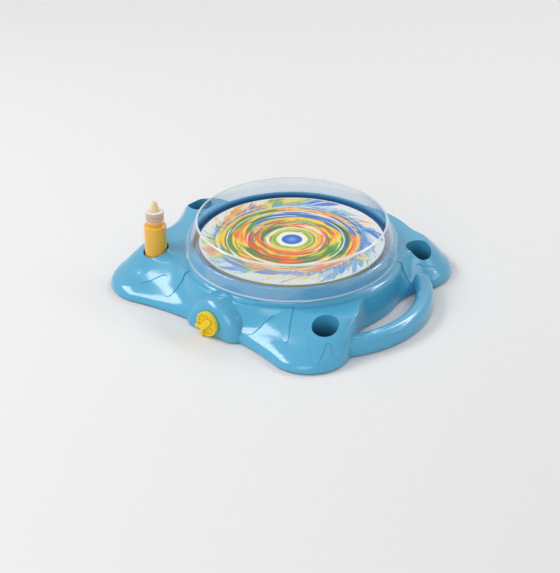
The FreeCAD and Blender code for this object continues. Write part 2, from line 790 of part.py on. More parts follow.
def screw(name, x, y, head_z, up):
    """A pan head screw. Its head's outer face is at head_z and its shank points up or down."""
    turned = revolved(name, [
        ("0", "0"),
        ("screw_head_radius * 0.7", "0"),
        ("screw_head_radius", "screw_head_height / 2"),
        ("screw_head_radius", "screw_head_height"),
        ("screw_radius - shaft_gap", "screw_head_height"),
        ("screw_radius - shaft_gap", "screw_head_height + screw_length * 0.85"),
        ("screw_radius / 2", "screw_head_height + screw_length * 0.9"),
        ("0", "screw_head_height + screw_length * 0.9"),
    ])
    return place(turned, x, y, head_z, V(1, 0, 0), 0 if up else 180)


def screws(name, places, head_z, up=True):
    """Screws of one kind, kept together as separate solids."""
    group = doc.addObject("Part::Compound", name)
    group.Links = [screw(f"{name}_{index}", x, y, head_z, up) for index, (x, y) in enumerate(places)]
    return group


def rubber_feet():
    """Five pads under the lobes."""
    group = doc.addObject("Part::Compound", "rubber_feet")
    pads = []
    for index, (x, y) in enumerate(WELLS):
        pads.append(revolved(f"foot_{index}", [
            ("0", "0"),
            ("foot_radius - plate_bottom / 2", "0"),
            ("foot_radius", "plate_bottom / 2"),
            ("foot_radius", "plate_bottom"),
            ("0", "plate_bottom"),
        ]))
        place(pads[-1], x, y, "0")
    group.Links = pads
    return group


CELL_START = f"({BAY_LENGTH} / 2 - contact_thickness - cell_length)"


def d_cell():
    """A D size cell lying along X, its positive nub towards the handle."""
    cell = revolved("d_cell", [
        ("0", "0"),
        ("cell_radius - nub_height", "0"),
        ("cell_radius", "nub_height"),
        ("cell_radius", "cell_length - 2 * nub_height"),
        ("cell_radius - nub_height", "cell_length - nub_height"),
        ("nub_radius", "cell_length - nub_height"),
        ("nub_radius", "cell_length"),
        ("0", "cell_length"),
    ])
    return place(cell, CELL_START, "cell_y", CELL_Z, V(0, 1, 0), 90)


def contact(name, side):
    """A sprung metal plate at one end of the bay, with a solder tab through the bay's front wall."""
    inner_x = f"{side} * ({BAY_LENGTH} / 2 - contact_thickness / 2)"
    plate = block_about(name + "_plate", "contact_thickness", "cell_radius", "cell_radius * 1.4",
                        inner_x, "cell_y", f"{CELL_Z} - cell_radius * 0.7")
    tab = box(name + "_tab", "contact_thickness", f"cell_y - {BAY_FRONT} + tab_length", "tab_depth",
              f"{inner_x} - contact_thickness / 2", f"{BAY_FRONT} - tab_length", TAB_Z)
    return fuse(name, [plate, tab])


def battery_spring():
    """The conical coil that presses the cell towards the positive contact."""
    wire, room = number("spring_wire"), number(f"{CELL_START} + {BAY_LENGTH} / 2 - contact_thickness")
    wide, narrow, turns = number("cell_radius * 0.55"), number("nub_radius * 0.8"), 3.5
    count = int(turns * 8)
    points = []
    for index in range(count + 1):
        share = index / count
        reach, turned = wide + (narrow - wide) * share, 2 * math.pi * turns * share
        points.append(V(reach * math.cos(turned), reach * math.sin(turned), (room - 2 * wire) * share))
    line = Part.BSplineCurve()
    line.interpolate(points)
    path = line.toShape()
    along = path.tangentAt(path.FirstParameter)
    across = along.cross(V(0, 0, 1)).normalize()
    upward = across.cross(along)
    corners = [points[0] + (upward * math.cos(k * math.pi / 4) + across * math.sin(k * math.pi / 4)) * wire
               for k in range(8)]
    coil = doc.addObject("Part::Feature", "battery_spring")
    coil.Shape = Part.Wire(path).makePipeShell([Part.makePolygon(corners + corners[:1])], True, True)
    return place(coil, f"contact_thickness + spring_wire - {BAY_LENGTH} / 2", "cell_y", CELL_Z,
                 V(0, 1, 0), 90)


# ---------------------------------------------------------------- motor

def motor_can():
    """The motor's steel can, open below, with the bearing boss on top."""
    bottom = "motor_bottom + motor_cap_height"
    return revolved("motor_can", [
        ("motor_radius - motor_wall", bottom),
        ("motor_radius", bottom),
        ("motor_radius", f"{MOTOR_TOP} - motor_wall"),
        ("motor_radius - motor_wall", MOTOR_TOP, "motor_wall"),
        ("motor_boss_radius", MOTOR_TOP),
        ("motor_boss_radius", f"{MOTOR_TOP} + motor_boss_height"),
        ("shaft_radius + shaft_gap / 2", f"{MOTOR_TOP} + motor_boss_height"),
        ("shaft_radius + shaft_gap / 2", f"{MOTOR_TOP} - motor_wall"),
        ("motor_radius - motor_wall", f"{MOTOR_TOP} - motor_wall"),
    ])


def motor_end_cap():
    """The plastic plug that closes the can below and holds the lower bearing."""
    lip = "(motor_bottom + motor_cap_height)"
    return revolved("motor_end_cap", [
        ("0", "motor_bottom"),
        ("motor_radius - motor_wall", "motor_bottom"),
        ("motor_radius", "motor_bottom + motor_wall"),
        ("motor_radius", lip),
        ("motor_radius - motor_wall", lip),
        ("motor_radius - motor_wall", f"{lip} + motor_wall"),
        ("motor_boss_radius", f"{lip} + motor_wall"),
        ("motor_boss_radius", f"{lip} + motor_boss_height"),
        ("shaft_radius + shaft_gap / 2", f"{lip} + motor_boss_height"),
        ("shaft_radius + shaft_gap / 2", f"{lip} - motor_wall"),
        ("0", f"{lip} - motor_wall"),
    ])


def motor_rotor():
    """The shaft with its armature and commutator."""
    start = "(motor_bottom + motor_cap_height - motor_wall + shaft_gap)"
    low = f"({start} + 3 * motor_boss_height)"
    return revolved("motor_rotor", [
        ("0", start),
        ("shaft_radius", start),
        ("shaft_radius", low),
        ("motor_boss_radius", low),
        ("motor_boss_radius", f"{low} + motor_cap_height"),
        ("armature_radius", f"{low} + motor_cap_height"),
        ("armature_radius", f"{MOTOR_TOP} - 2 * motor_boss_height"),
        ("shaft_radius", f"{MOTOR_TOP} - 2 * motor_boss_height"),
        ("shaft_radius", "table_top - table_thickness"),
        ("0", "table_top - table_thickness"),
    ])


def motor_magnets():
    """Two arc magnets inside the can."""
    group = doc.addObject("Part::Compound", "motor_magnets")
    arcs = []
    for index in range(2):
        inside, outside = "armature_radius + shaft_gap * 6", "motor_radius - motor_wall * 1.3"
        arc = revolved(f"magnet_{index}", [
            (inside, "motor_bottom + 2 * motor_cap_height"),
            (outside, "motor_bottom + 2 * motor_cap_height"),
            (outside, f"{MOTOR_TOP} - 2 * motor_boss_height"),
            (inside, f"{MOTOR_TOP} - 2 * motor_boss_height"),
        ], "130")
        arcs.append(place(arc, angle=180 * index - 65))
    group.Links = arcs
    return group


def motor_terminals():
    """Two solder tags that leave the end cap through the cradle and turn up beside it."""
    group = doc.addObject("Part::Compound", "motor_terminals")
    width, sheet_metal = "motor_wall * 3", "motor_wall / 2"
    z = "plate_top + motor_cap_height / 2"
    tags = []
    for index, side in enumerate((-1, 1)):
        x = f"{side} * motor_radius / 2 - {width} / 2"
        flat = box(f"tag_flat_{index}", width, f"{TERMINAL_REACH} - motor_radius + motor_wall * 0.8",
                   sheet_metal, x, f"-{TERMINAL_REACH}", z)
        upright = box(f"tag_upright_{index}", width, sheet_metal, "tab_length", x,
                      f"-{TERMINAL_REACH}", z)
        tags.append(fuse(f"tag_{index}", [flat, upright]))
    group.Links = tags
    return group


def motor_clamp():
    """The strap over the motor, with a hole for its boss and one for each screw."""
    half, end = "(clamp_reach)", "(post_radius + stem_gap)"
    strap = padded("clamp_blank", [
        (f"-{half}", f"-{end}", end),
        (half, f"-{end}"),
        (f"{half} + {end}", "0", end),
        (half, end, end),
        (f"-{half}", end),
        (f"-{half} - {end}", "0", end),
    ], "clamp_thickness", MOTOR_TOP)
    disc = cylinder("clamp_disc", "motor_boss_radius * 2.2", "clamp_thickness", z=MOTOR_TOP)
    holes = [cylinder("clamp_eye", "motor_boss_radius + shaft_gap / 2", "screw_length", z=MOTOR_TOP)]
    for side in (-1, 1):
        holes.append(cylinder(f"clamp_hole_{side + 1}", "screw_radius + stem_gap", "screw_length",
                              f"{side} * clamp_reach", "0", f"{MOTOR_TOP} - 1"))
    return cut("motor_clamp", fuse("clamp_solid", [strap, disc]), holes)


# ---------------------------------------------------------------- tray, turntable, paper

def paint_tray():
    """The round trough that catches the paint, with a collar round the spindle and three posts."""
    wall_x = "(ring_outer - wall - tray_gap)"
    top = "(ledge_top + tray_floor)"
    bowl = revolved("tray_bowl", [
        ("collar_radius", "ledge_top"),
        (wall_x, "ledge_top"),
        (wall_x, "tray_rim"),
        (f"{wall_x} - tray_wall", "tray_rim"),
        (f"{wall_x} - tray_wall", f"{top} + 2 * tray_wall"),
        (f"{wall_x} - 3 * tray_wall", top, "-2 * tray_wall"),
        ("collar_radius + collar_wall", top),
        ("collar_radius + collar_wall", f"{top} + collar_height"),
        ("collar_radius", f"{top} + collar_height"),
    ])
    posts = [bowl]
    bores = []
    for index, (x, y) in enumerate(TRAY_POSTS):
        posts.append(cylinder(f"tray_post_{index}", "post_radius", "ledge_top - plate_top + tray_floor / 2",
                              x, y, "plate_top"))
        bores.append(cylinder(f"tray_bore_{index}", "screw_radius", "screw_length", x, y, "plate_top"))
    return cut("paint_tray", fuse("tray_solid", posts), bores)


def drive_bush():
    """The plastic bush pressed on the motor shaft, which carries the turntable."""
    top = "(table_top - table_thickness / 4)"
    foot = f"({top} - bush_length)"
    return revolved("drive_bush", [
        ("shaft_radius", foot),
        ("bush_radius", foot),
        ("bush_radius", top),
        ("0", top),
        ("0", "table_top - table_thickness"),
        ("shaft_radius", "table_top - table_thickness"),
    ])


def turntable():
    """The spoked wheel under the paper: a rim, a hub and petal shaped openings."""
    under = "(table_top - table_thickness)"
    rim = "(table_top - table_rim_height)"
    body = revolved("turntable", [
        ("bush_radius", under),
        ("hub_radius - hub_wall", under),
        ("hub_radius - hub_wall", f"{rim} + stem_gap"),
        ("hub_radius", f"{rim} + stem_gap"),
        ("hub_radius", under),
        ("table_radius - table_rim_wall", under),
        ("table_radius - table_rim_wall", rim),
        ("table_radius", rim),
        ("table_radius", "table_top - table_thickness / 3"),
        ("table_radius - table_thickness / 3", "table_top", "table_thickness / 3"),
        ("bush_radius", "table_top"),
    ])
    doc.recompute()
    small, large = "petal_inner_radius", "petal_outer_radius"
    tilt = f"(({large} - {small}) / (petal_outer - petal_inner))"
    rise = f"sqrt(1 - {tilt} ^ 2)"
    sketch = new_sketch(body, "petal_plan", "XY_Plane", "table_top")
    draw(sketch, [
        (f"petal_inner - {small} * {tilt}", f"-{small} * {rise}", small),
        (f"petal_outer - {large} * {tilt}", f"-{large} * {rise}"),
        (f"petal_outer + {large}", "0", large),
        (f"petal_outer - {large} * {tilt}", f"{large} * {rise}", large),
        (f"petal_inner - {small} * {tilt}", f"{small} * {rise}"),
        (f"petal_inner - {small}", "0", small),
    ])
    pocket = body.newObject("PartDesign::Pocket", "petal")
    pocket.Profile = sketch
    bind(pocket, Length="table_thickness * 2")
    pattern = body.newObject("PartDesign::PolarPattern", "petals")
    pattern.Originals = [pocket]
    pattern.Axis = (origin_plane(body, "Z_Axis"), [""])
    pattern.Angle = 360
    bind(pattern, Occurrences="petal_count")
    body.Tip = pattern
    return body


def paper_disc():
    """The round card that is painted."""
    return cylinder("paper_disc", "paper_radius", "paper_thickness", z="table_top")


# ---------------------------------------------------------------- splash guard

def radial_box(name, depth, width, height, reach, z, angle):
    """A block that starts at a reach from the axis in the direction of angle."""
    block = doc.addObject("Part::Box", name)
    bind(block, Length=depth, Width=width, Height=height)
    return place(block, f"({reach}) * cos({angle}) + ({width}) / 2 * sin({angle})",
                 f"({reach}) * sin({angle}) - ({width}) / 2 * cos({angle})", z, V(0, 0, 1),
                 number(angle))


def splash_guard():
    """The clear collar: a skirt around the ring, a shoulder on it and a wall that leans inwards."""
    inside = "(ring_outer + guard_gap)"
    outside = f"({inside} + guard_wall)"
    neck = "(ring_outer - wall / 2)"
    lip = "(guard_mouth + guard_lip)"
    skin = revolved("guard_skin", [
        (inside, "guard_bottom"),
        (outside, "guard_bottom"),
        (outside, "guard_shoulder - guard_lip"),
        (f"{outside} - guard_lip", "guard_shoulder", "guard_lip"),
        (f"{neck} + guard_wall / 2", "guard_shoulder"),
        (lip, "guard_top - guard_lip / 2"),
        (f"{lip} - guard_lip", "guard_top", "guard_lip * 1.2"),
        (f"{lip} - guard_lip", "guard_top - guard_wall * 0.7"),
        (f"{lip} - guard_wall", "guard_top - guard_lip"),
        (f"{neck} - guard_wall / 2", "guard_shoulder"),
        (f"{neck} - guard_wall / 2", "ring_top"),
        (inside, "ring_top"),
    ])
    tabs = [skin]
    for index in range(4):
        angle = f"(tab_angle + {90 * index})"
        tabs.append(radial_box(f"guard_tab_{index}", "guard_wall", "tab_width", "tab_height",
                               f"{outside} - guard_wall / 2", "guard_bottom", angle))
    return fuse("splash_guard", tabs)


# ---------------------------------------------------------------- knob and switch

KNOB_BACK = "(boss_front + knob_gap)"


def control_knob():
    """The yellow knob: a rimmed disc with a grip bar across it and a stem through the shell."""
    face = "(knob_disc - knob_rim)"
    disc = revolved("knob_disc_turned", [
        ("0", "-stem_length"),
        ("stem_radius", "-stem_length"),
        ("stem_radius", "0"),
        ("knob_radius - knob_rim", "0"),
        ("knob_radius", "knob_rim", "knob_rim"),
        ("knob_radius", "knob_disc"),
        ("knob_radius - knob_rim", "knob_disc + knob_rim", "knob_rim"),
        ("knob_radius - 2 * knob_rim", face),
        ("0", face),
    ])
    half = "(knob_grip_width / 2)"
    tip = "(knob_radius + knob_overhang)"
    grip = padded("knob_grip", [
        ("-knob_radius + knob_rim", f"-{half} * 0.7"),
        ("0", f"-{half}"),
        (f"{tip} - {half}", f"-{half} * 1.2"),
        (tip, f"-{half} * 0.8"),
        (f"{tip} - {half} * 0.8", "0"),
        (tip, f"{half} * 0.8"),
        (f"{tip} - {half}", f"{half} * 1.2"),
        ("0", half),
        ("-knob_radius + knob_rim", f"{half} * 0.7"),
    ], "knob_grip_height", f"{face} - knob_rim / 2")
    doc.recompute()
    soft = doc.addObject("Part::Chamfer", "knob_grip_soft")
    soft.Base = grip
    top = number(f"{face} - knob_rim / 2 + knob_grip_height")
    soft.Edges = [(index, 0.8, 0.8) for index, edge in enumerate(grip.Shape.Edges, start=1)
                  if edge.BoundBox.ZMin > top - 0.01]
    place(soft, angle=225)
    knob = fuse("control_knob", [disc, soft])
    return place(knob, "knob_x", f"-{KNOB_BACK}", "knob_z", V(1, 0, 0), 90)


def knob_clip():
    """The spring ring that keeps the stem in the shell."""
    ring = revolved("knob_clip", [
        ("stem_radius + shaft_gap", "0"),
        ("stem_radius + clip_width", "0"),
        ("stem_radius + clip_width", "clip_thickness"),
        ("stem_radius + shaft_gap", "clip_thickness"),
    ], "300")
    return place(ring, "knob_x", "wall + knob_gap / 2 - boss_front", "knob_z", V(1, 0, 0), -90)


BRACKET_FOOT_HEIGHT = "(bracket_thickness * 0.6)"


def switch_bracket():
    """The upright that carries the end of the stem and the contact leaves."""
    upright = block_about("bracket_upright", "bracket_width", "bracket_thickness",
                          "knob_z + stem_radius * 3 - plate_top",
                          "knob_x", "-bracket_front + bracket_thickness / 2", "plate_top")
    foot = block_about("bracket_base", "bracket_width", "bracket_foot", BRACKET_FOOT_HEIGHT,
                       "knob_x", "-bracket_front + bracket_foot / 2", "plate_top")
    hole = cylinder("bracket_hole", "stem_radius + stem_gap", "bracket_thickness * 3", "knob_x",
                    "-bracket_front - bracket_thickness", "knob_z", V(1, 0, 0), -90)
    return cut("switch_bracket", fuse("bracket_blank", [upright, foot]), [hole])


CAM_START = "(bracket_front - bracket_thickness - stem_gap * 3)"
LOBE_WIDTH = "(cam_radius / 2)"
LEAF_REACH = f"(sqrt((cam_radius + cam_lobe) ^ 2 + ({LOBE_WIDTH} / 2) ^ 2) + leaf_gap)"


def switch_cam():
    """The cam on the stem that closes the contact leaves when the knob is turned."""
    drum = cylinder("cam_drum", "cam_radius", "cam_length")
    lobe = box("cam_lobe_block", "cam_radius + cam_lobe", LOBE_WIDTH, "cam_length", "0", "0", "0")
    place(lobe, f"{LOBE_WIDTH} / 2 * sin(45)", f"-{LOBE_WIDTH} / 2 * cos(45)", "0", V(0, 0, 1), 45)
    bore = cylinder("cam_bore", "stem_radius", "cam_length * 3", z="-cam_length")
    cam = cut("switch_cam", fuse("cam_blank", [drum, lobe]), [bore])
    return place(cam, "knob_x", f"-{CAM_START}", "knob_z", V(1, 0, 0), -90)


def switch_contacts():
    """Two springy leaves on the bracket's foot, one each side of the cam."""
    foot_top = f"(plate_top + {BRACKET_FOOT_HEIGHT})"
    group = doc.addObject("Part::Compound", "switch_contacts")
    leaves = []
    for index, side in enumerate((-1, 1)):
        leaves.append(block_about(f"leaf_{index}", "contact_thickness", "leaf_width",
                                  f"knob_z + cam_radius - {foot_top}",
                                  f"knob_x + {side} * {LEAF_REACH}",
                                  f"-{CAM_START} + cam_length / 2", foot_top))
    group.Links = leaves
    return group


# ---------------------------------------------------------------- leads

def lead(name, points):
    """An insulated wire laid along straight runs joined by tangent arcs."""
    corners = [V(*(number(value) for value in point)) for point in points]
    edges = []
    start = corners[0]
    for before, corner, after in zip(corners, corners[1:], corners[2:]):
        into, out = (corner - before), (after - corner)
        half_turn = into.getAngle(out) / 2
        trim = 0.45 * min(into.Length, out.Length)
        into.normalize()
        out.normalize()
        first, last = corner - into * trim, corner + out * trim
        middle = corner + (out - into).normalize() * trim * math.tan(half_turn / 2)
        edges.append(Part.makeLine(start, first))
        edges.append(Part.Arc(first, middle, last).toShape())
        start = last
    edges.append(Part.makeLine(start, corners[-1]))
    path = Part.Wire(edges)
    ring = Part.Wire(Part.makeCircle(number("lead_radius"), corners[0], corners[1] - corners[0]))
    wire = doc.addObject("Part::Feature", name)
    wire.Shape = path.makePipeShell([ring], True, False)
    return wire


# ---------------------------------------------------------------- paint bottle

BOTTLE_X, BOTTLE_Y = WELLS[1]
BOTTLE_Z = "(plate_top + well_lift + well_floor)"
NECK_TOP = "(bottle_height + neck_height)"
CAP_BOTTOM = "(bottle_height + cap_start)"
CAP_TOP = "(bottle_height + cap_start + cap_height)"


def stand_in_well(piece):
    """Put a piece of the bottle where the bottle stands."""
    return place(piece, BOTTLE_X, BOTTLE_Y, BOTTLE_Z)


def bottle_body():
    """The clear squeeze bottle with its threaded neck."""
    bend = "bottle_round"
    inner = "(bottle_radius - bottle_wall)"
    mouth = "(neck_radius - bottle_wall)"
    steps = [
        ("0", "0"),
        (f"bottle_radius - {bend}", "0"),
        ("bottle_radius", bend, bend),
        ("bottle_radius", f"bottle_height - {bend}"),
        (f"bottle_radius - {bend}", "bottle_height", bend),
        ("neck_radius", "bottle_height"),
    ]
    for turn in range(3):
        base = f"bottle_height + {turn} * thread_pitch + thread_pitch"
        steps += [
            ("neck_radius", base),
            ("neck_radius + thread_depth", f"{base} + thread_pitch * 0.3"),
            ("neck_radius + thread_depth", f"{base} + thread_pitch * 0.5"),
            ("neck_radius", f"{base} + thread_pitch * 0.8"),
        ]
    steps += [
        ("neck_radius", NECK_TOP),
        (mouth, NECK_TOP),
        (mouth, "bottle_height - bottle_wall"),
        (f"{inner} - {bend}", "bottle_height - bottle_wall"),
        (inner, f"bottle_height - bottle_wall - {bend}", f"-{bend}"),
        (inner, f"bottle_wall + {bend}"),
        (f"{inner} - {bend}", "bottle_wall", f"-{bend}"),
        ("0", "bottle_wall"),
    ]
    return stand_in_well(revolved("bottle_body", steps))


def paint_fill():
    """The paint in the bottle."""
    edge = "(bottle_radius - bottle_wall - paint_gap)"
    return stand_in_well(revolved("paint_fill", [
        ("0", "bottle_wall + paint_gap"),
        (f"{edge} - bottle_round", "bottle_wall + paint_gap"),
        (edge, "bottle_wall + paint_gap + bottle_round", "bottle_round"),
        (edge, "paint_level"),
        ("0", "paint_level"),
    ]))


def nozzle_cap():
    """The clear ring that screws the nozzle onto the neck."""
    inner = "(cap_radius - cap_wall)"
    hole = "(nozzle_radius + stem_gap / 2)"
    return stand_in_well(revolved("nozzle_cap", [
        (inner, CAP_BOTTOM),
        ("cap_radius", CAP_BOTTOM),
        ("cap_radius", f"{CAP_TOP} - cap_wall"),
        ("cap_radius - cap_wall", CAP_TOP, "cap_wall"),
        (hole, CAP_TOP),
        (hole, f"{CAP_TOP} - cap_wall"),
        (inner, f"{CAP_TOP} - cap_wall"),
    ]))


def nozzle():
    """The tapered dropper tip, with a flange that the cap presses on the neck."""
    flange = f"({NECK_TOP} + paint_gap)"
    return stand_in_well(revolved("nozzle", [
        ("nozzle_radius - bottle_wall", flange),
        ("neck_radius", flange),
        ("neck_radius", f"{flange} + bottle_wall"),
        ("nozzle_radius", f"{flange} + bottle_wall"),
        ("nozzle_radius", CAP_TOP),
        ("nozzle_tip", f"{NECK_TOP} + nozzle_height - nozzle_tip / 2"),
        ("nozzle_tip / 2", f"{NECK_TOP} + nozzle_height", "nozzle_tip"),
        ("nozzle_hole", f"{NECK_TOP} + nozzle_height"),
        ("nozzle_hole", f"{NECK_TOP} + nozzle_height - nozzle_tip"),
        ("nozzle_radius - bottle_wall", f"{CAP_TOP} - cap_wall"),
    ]))


# ---------------------------------------------------------------- build and write

TAB_END = f"({BAY_FRONT} - tab_length)"
WIRE_Z = "(plate_top + lead_radius + lead_gap)"
LEAF_Y = f"(-{CAM_START} + cam_length / 2 + leaf_width / 2 + lead_gap * 1.5)"
POLE_X = f"({BAY_LENGTH} / 2 - contact_thickness / 2)"
POLE_Z = f"({TAB_Z} + tab_depth / 2)"

sub_parts = [
    top_housing(),
    base_plate(),
    battery_door(),
    screws("door_screw", [(EAR_X, "cell_y")], "plate_bottom"),
    screws("housing_screws", POSTS, "plate_bottom"),
    screws("tray_screws", TRAY_POSTS, "plate_bottom"),
    screws("clamp_screws", [("-clamp_reach", "0"), ("clamp_reach", "0")],
           f"{MOTOR_TOP} + clamp_thickness + screw_head_height", up=False),
    rubber_feet(),
    d_cell(),
    contact("negative_contact", -1),
    contact("positive_contact", 1),
    battery_spring(),
    motor_can(),
    motor_end_cap(),
    motor_rotor(),
    motor_magnets(),
    motor_terminals(),
    motor_clamp(),
    paint_tray(),
    drive_bush(),
    turntable(),
    paper_disc(),
    splash_guard(),
    control_knob(),
    knob_clip(),
    switch_bracket(),
    switch_cam(),
    switch_contacts(),
    lead("red_lead", [
        (POLE_X, TAB_END, POLE_Z),
        (POLE_X, f"{TAB_END} - 8", POLE_Z),
        (POLE_X, f"{TAB_END} - 22", f"{WIRE_Z} + 8"),
        (f"{POLE_X} - 1", f"{TAB_END} - 40", WIRE_Z),
        ("32", "-62", WIRE_Z),
        ("24", "-80", WIRE_Z),
        (f"knob_x + {LEAF_REACH}", f"{LEAF_Y} + 7", f"{WIRE_Z} + 4"),
        (f"knob_x + {LEAF_REACH}", LEAF_Y, f"{WIRE_Z} + 5"),
    ]),
    lead("white_lead", [
        (f"knob_x - {LEAF_REACH}", LEAF_Y, f"{WIRE_Z} + 5"),
        (f"knob_x - {LEAF_REACH}", f"{LEAF_Y} + 7", f"{WIRE_Z} + 4"),
        ("-4", "-74", WIRE_Z),
        ("4", "-54", WIRE_Z),
        ("8", "-36", f"{WIRE_Z} + 1"),
        ("motor_radius / 2", f"-{TERMINAL_REACH} - 0.1", "plate_top + 4"),
    ]),
    lead("black_lead", [
        (f"-{POLE_X}", TAB_END, POLE_Z),
        (f"-{POLE_X}", f"{TAB_END} - 8", POLE_Z),
        (f"-{POLE_X}", f"{TAB_END} - 22", f"{WIRE_Z} + 8"),
        ("-28", "-26", WIRE_Z),
        ("-14", "-32", WIRE_Z),
        ("-motor_radius / 2", f"-{TERMINAL_REACH} - 0.3", "plate_top + 4"),
    ]),
    bottle_body(),
    paint_fill(),
    nozzle_cap(),
    nozzle(),
]
doc.recompute()

failed = [item.Name for item in doc.Objects if {"Invalid", "Error"} & set(item.State)]
failed += [item.Label for item in sub_parts if item.Shape.isNull() or not item.Shape.isValid()]
if failed:
    raise RuntimeError("these objects failed: " + ", ".join(failed))

os.makedirs("parts", exist_ok=True)
for item in sub_parts:
    item.Shape.exportStep(os.path.join("parts", item.Label + ".step"))
    print(f"{item.Label:20s} {len(item.Shape.Solids)} solids {item.Shape.Volume:12.1f} mm3")
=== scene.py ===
import json
import logging
import math
from dataclasses import dataclass, field
from enum import Enum
from typing import Callable

import bpy
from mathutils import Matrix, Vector


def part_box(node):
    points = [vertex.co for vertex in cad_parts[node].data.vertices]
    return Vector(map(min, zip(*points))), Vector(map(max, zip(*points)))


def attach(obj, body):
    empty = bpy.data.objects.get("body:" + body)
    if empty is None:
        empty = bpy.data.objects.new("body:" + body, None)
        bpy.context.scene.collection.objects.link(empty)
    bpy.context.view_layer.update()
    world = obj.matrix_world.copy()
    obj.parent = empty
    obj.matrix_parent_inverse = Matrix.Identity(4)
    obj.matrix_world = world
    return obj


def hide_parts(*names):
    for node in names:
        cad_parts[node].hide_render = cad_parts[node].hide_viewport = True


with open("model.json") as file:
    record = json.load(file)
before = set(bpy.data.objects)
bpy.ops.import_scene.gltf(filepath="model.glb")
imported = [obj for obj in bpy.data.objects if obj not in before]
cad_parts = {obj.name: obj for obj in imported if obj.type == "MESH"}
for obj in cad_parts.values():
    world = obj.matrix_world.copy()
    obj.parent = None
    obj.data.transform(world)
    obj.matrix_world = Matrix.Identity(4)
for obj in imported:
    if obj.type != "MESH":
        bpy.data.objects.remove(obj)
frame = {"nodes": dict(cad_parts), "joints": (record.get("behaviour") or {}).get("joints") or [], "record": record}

LOG = logging.getLogger("spin_art_machine")
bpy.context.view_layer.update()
MM = 0.001
SMOOTH_ANGLE = 35.0
FLAT = 0.9
UPRIGHT = 0.1
ON_AXIS = 0.1
FILL_OVER = 0.0002
WHITE = (1.0, 1.0, 1.0, 1.0)

Colour = tuple[float, float, float]
Triple = tuple[float, float, float]
Span = tuple[float, float]
Stops = tuple[tuple[float, Colour], ...]
Socket = bpy.types.NodeSocket
Number = float | Socket


class Body(Enum):
    """The rigid bodies that new pieces ride on."""

    MACHINE = "machine"
    KNOB = "knob"
    BOTTLE_TOP = "bottle_top"


# ---------------------------------------------------------------- places in the frame


def middle(node: str) -> Vector:
    """Return the middle of a CAD node's box in metres."""
    low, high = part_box(node)
    return (low + high) / 2


def bottle_place(height: float) -> Triple:
    """Return the point of the bottle's axis at a height in metres, as millimetres."""
    axis = middle("bottle_body")
    return axis.x / MM, axis.y / MM, height / MM


def joint_place(name: str) -> Triple:
    """Return where a joint lies, in millimetres."""
    joint = next(each for each in frame["joints"] if each["name"] == name)
    return tuple(part / MM for part in joint["pos_m"])


def well_axes() -> tuple[Span, ...]:
    """Find the bottle wells: the open ones in the record and the one that the bottle stands in.

    Returns:
        The X and Y of each well in metres.
    """
    axes = []
    for opening in frame["record"]["physics"]["openings"]:
        if opening["name"].startswith("well_"):
            low, high = opening["box_m"]
            axes.append(((low[0] + high[0]) / 2, (low[1] + high[1]) / 2))
    bottle = middle("bottle_body")
    return (*axes, (bottle.x, bottle.y))


def lips_of(node: str, rim: Span, foot: Span) -> tuple[Span, Span]:
    """Find the heights of a clear piece's two thick lips, where its material paints a highlight band of whiter
    haze.

    Args:
        node: The CAD node.
        rim: Start and end of the upper lip, in metres up from the node's top.
        foot: Start and end of the lower lip, in metres up from the node's foot.

    Returns:
        The start and end of the upper and of the lower lip, in metres.
    """
    low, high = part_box(node)
    return (high.z + rim[0], high.z + rim[1]), (low.z + foot[0], low.z + foot[1])


# ---------------------------------------------------------------- shader nodes


def linear(red: float, green: float, blue: float) -> tuple[float, float, float, float]:
    """Turn a display colour, 0 to 1 in each part, into linear light by the sRGB curve.

    Args:
        red: Display red.
        green: Display green.
        blue: Display blue.

    Returns:
        The linear colour with an alpha of one.
    """
    def one(value: float) -> float:
        """Return one part in linear light."""
        return value / 12.92 if value <= 0.04045 else ((value + 0.055) / 1.055) ** 2.4

    return one(red), one(green), one(blue), 1.0


@dataclass(frozen=True)
class Ease:
    """A smooth step between two places, from one value to another."""

    start: float
    end: float
    before: float = 0.0
    after: float = 1.0


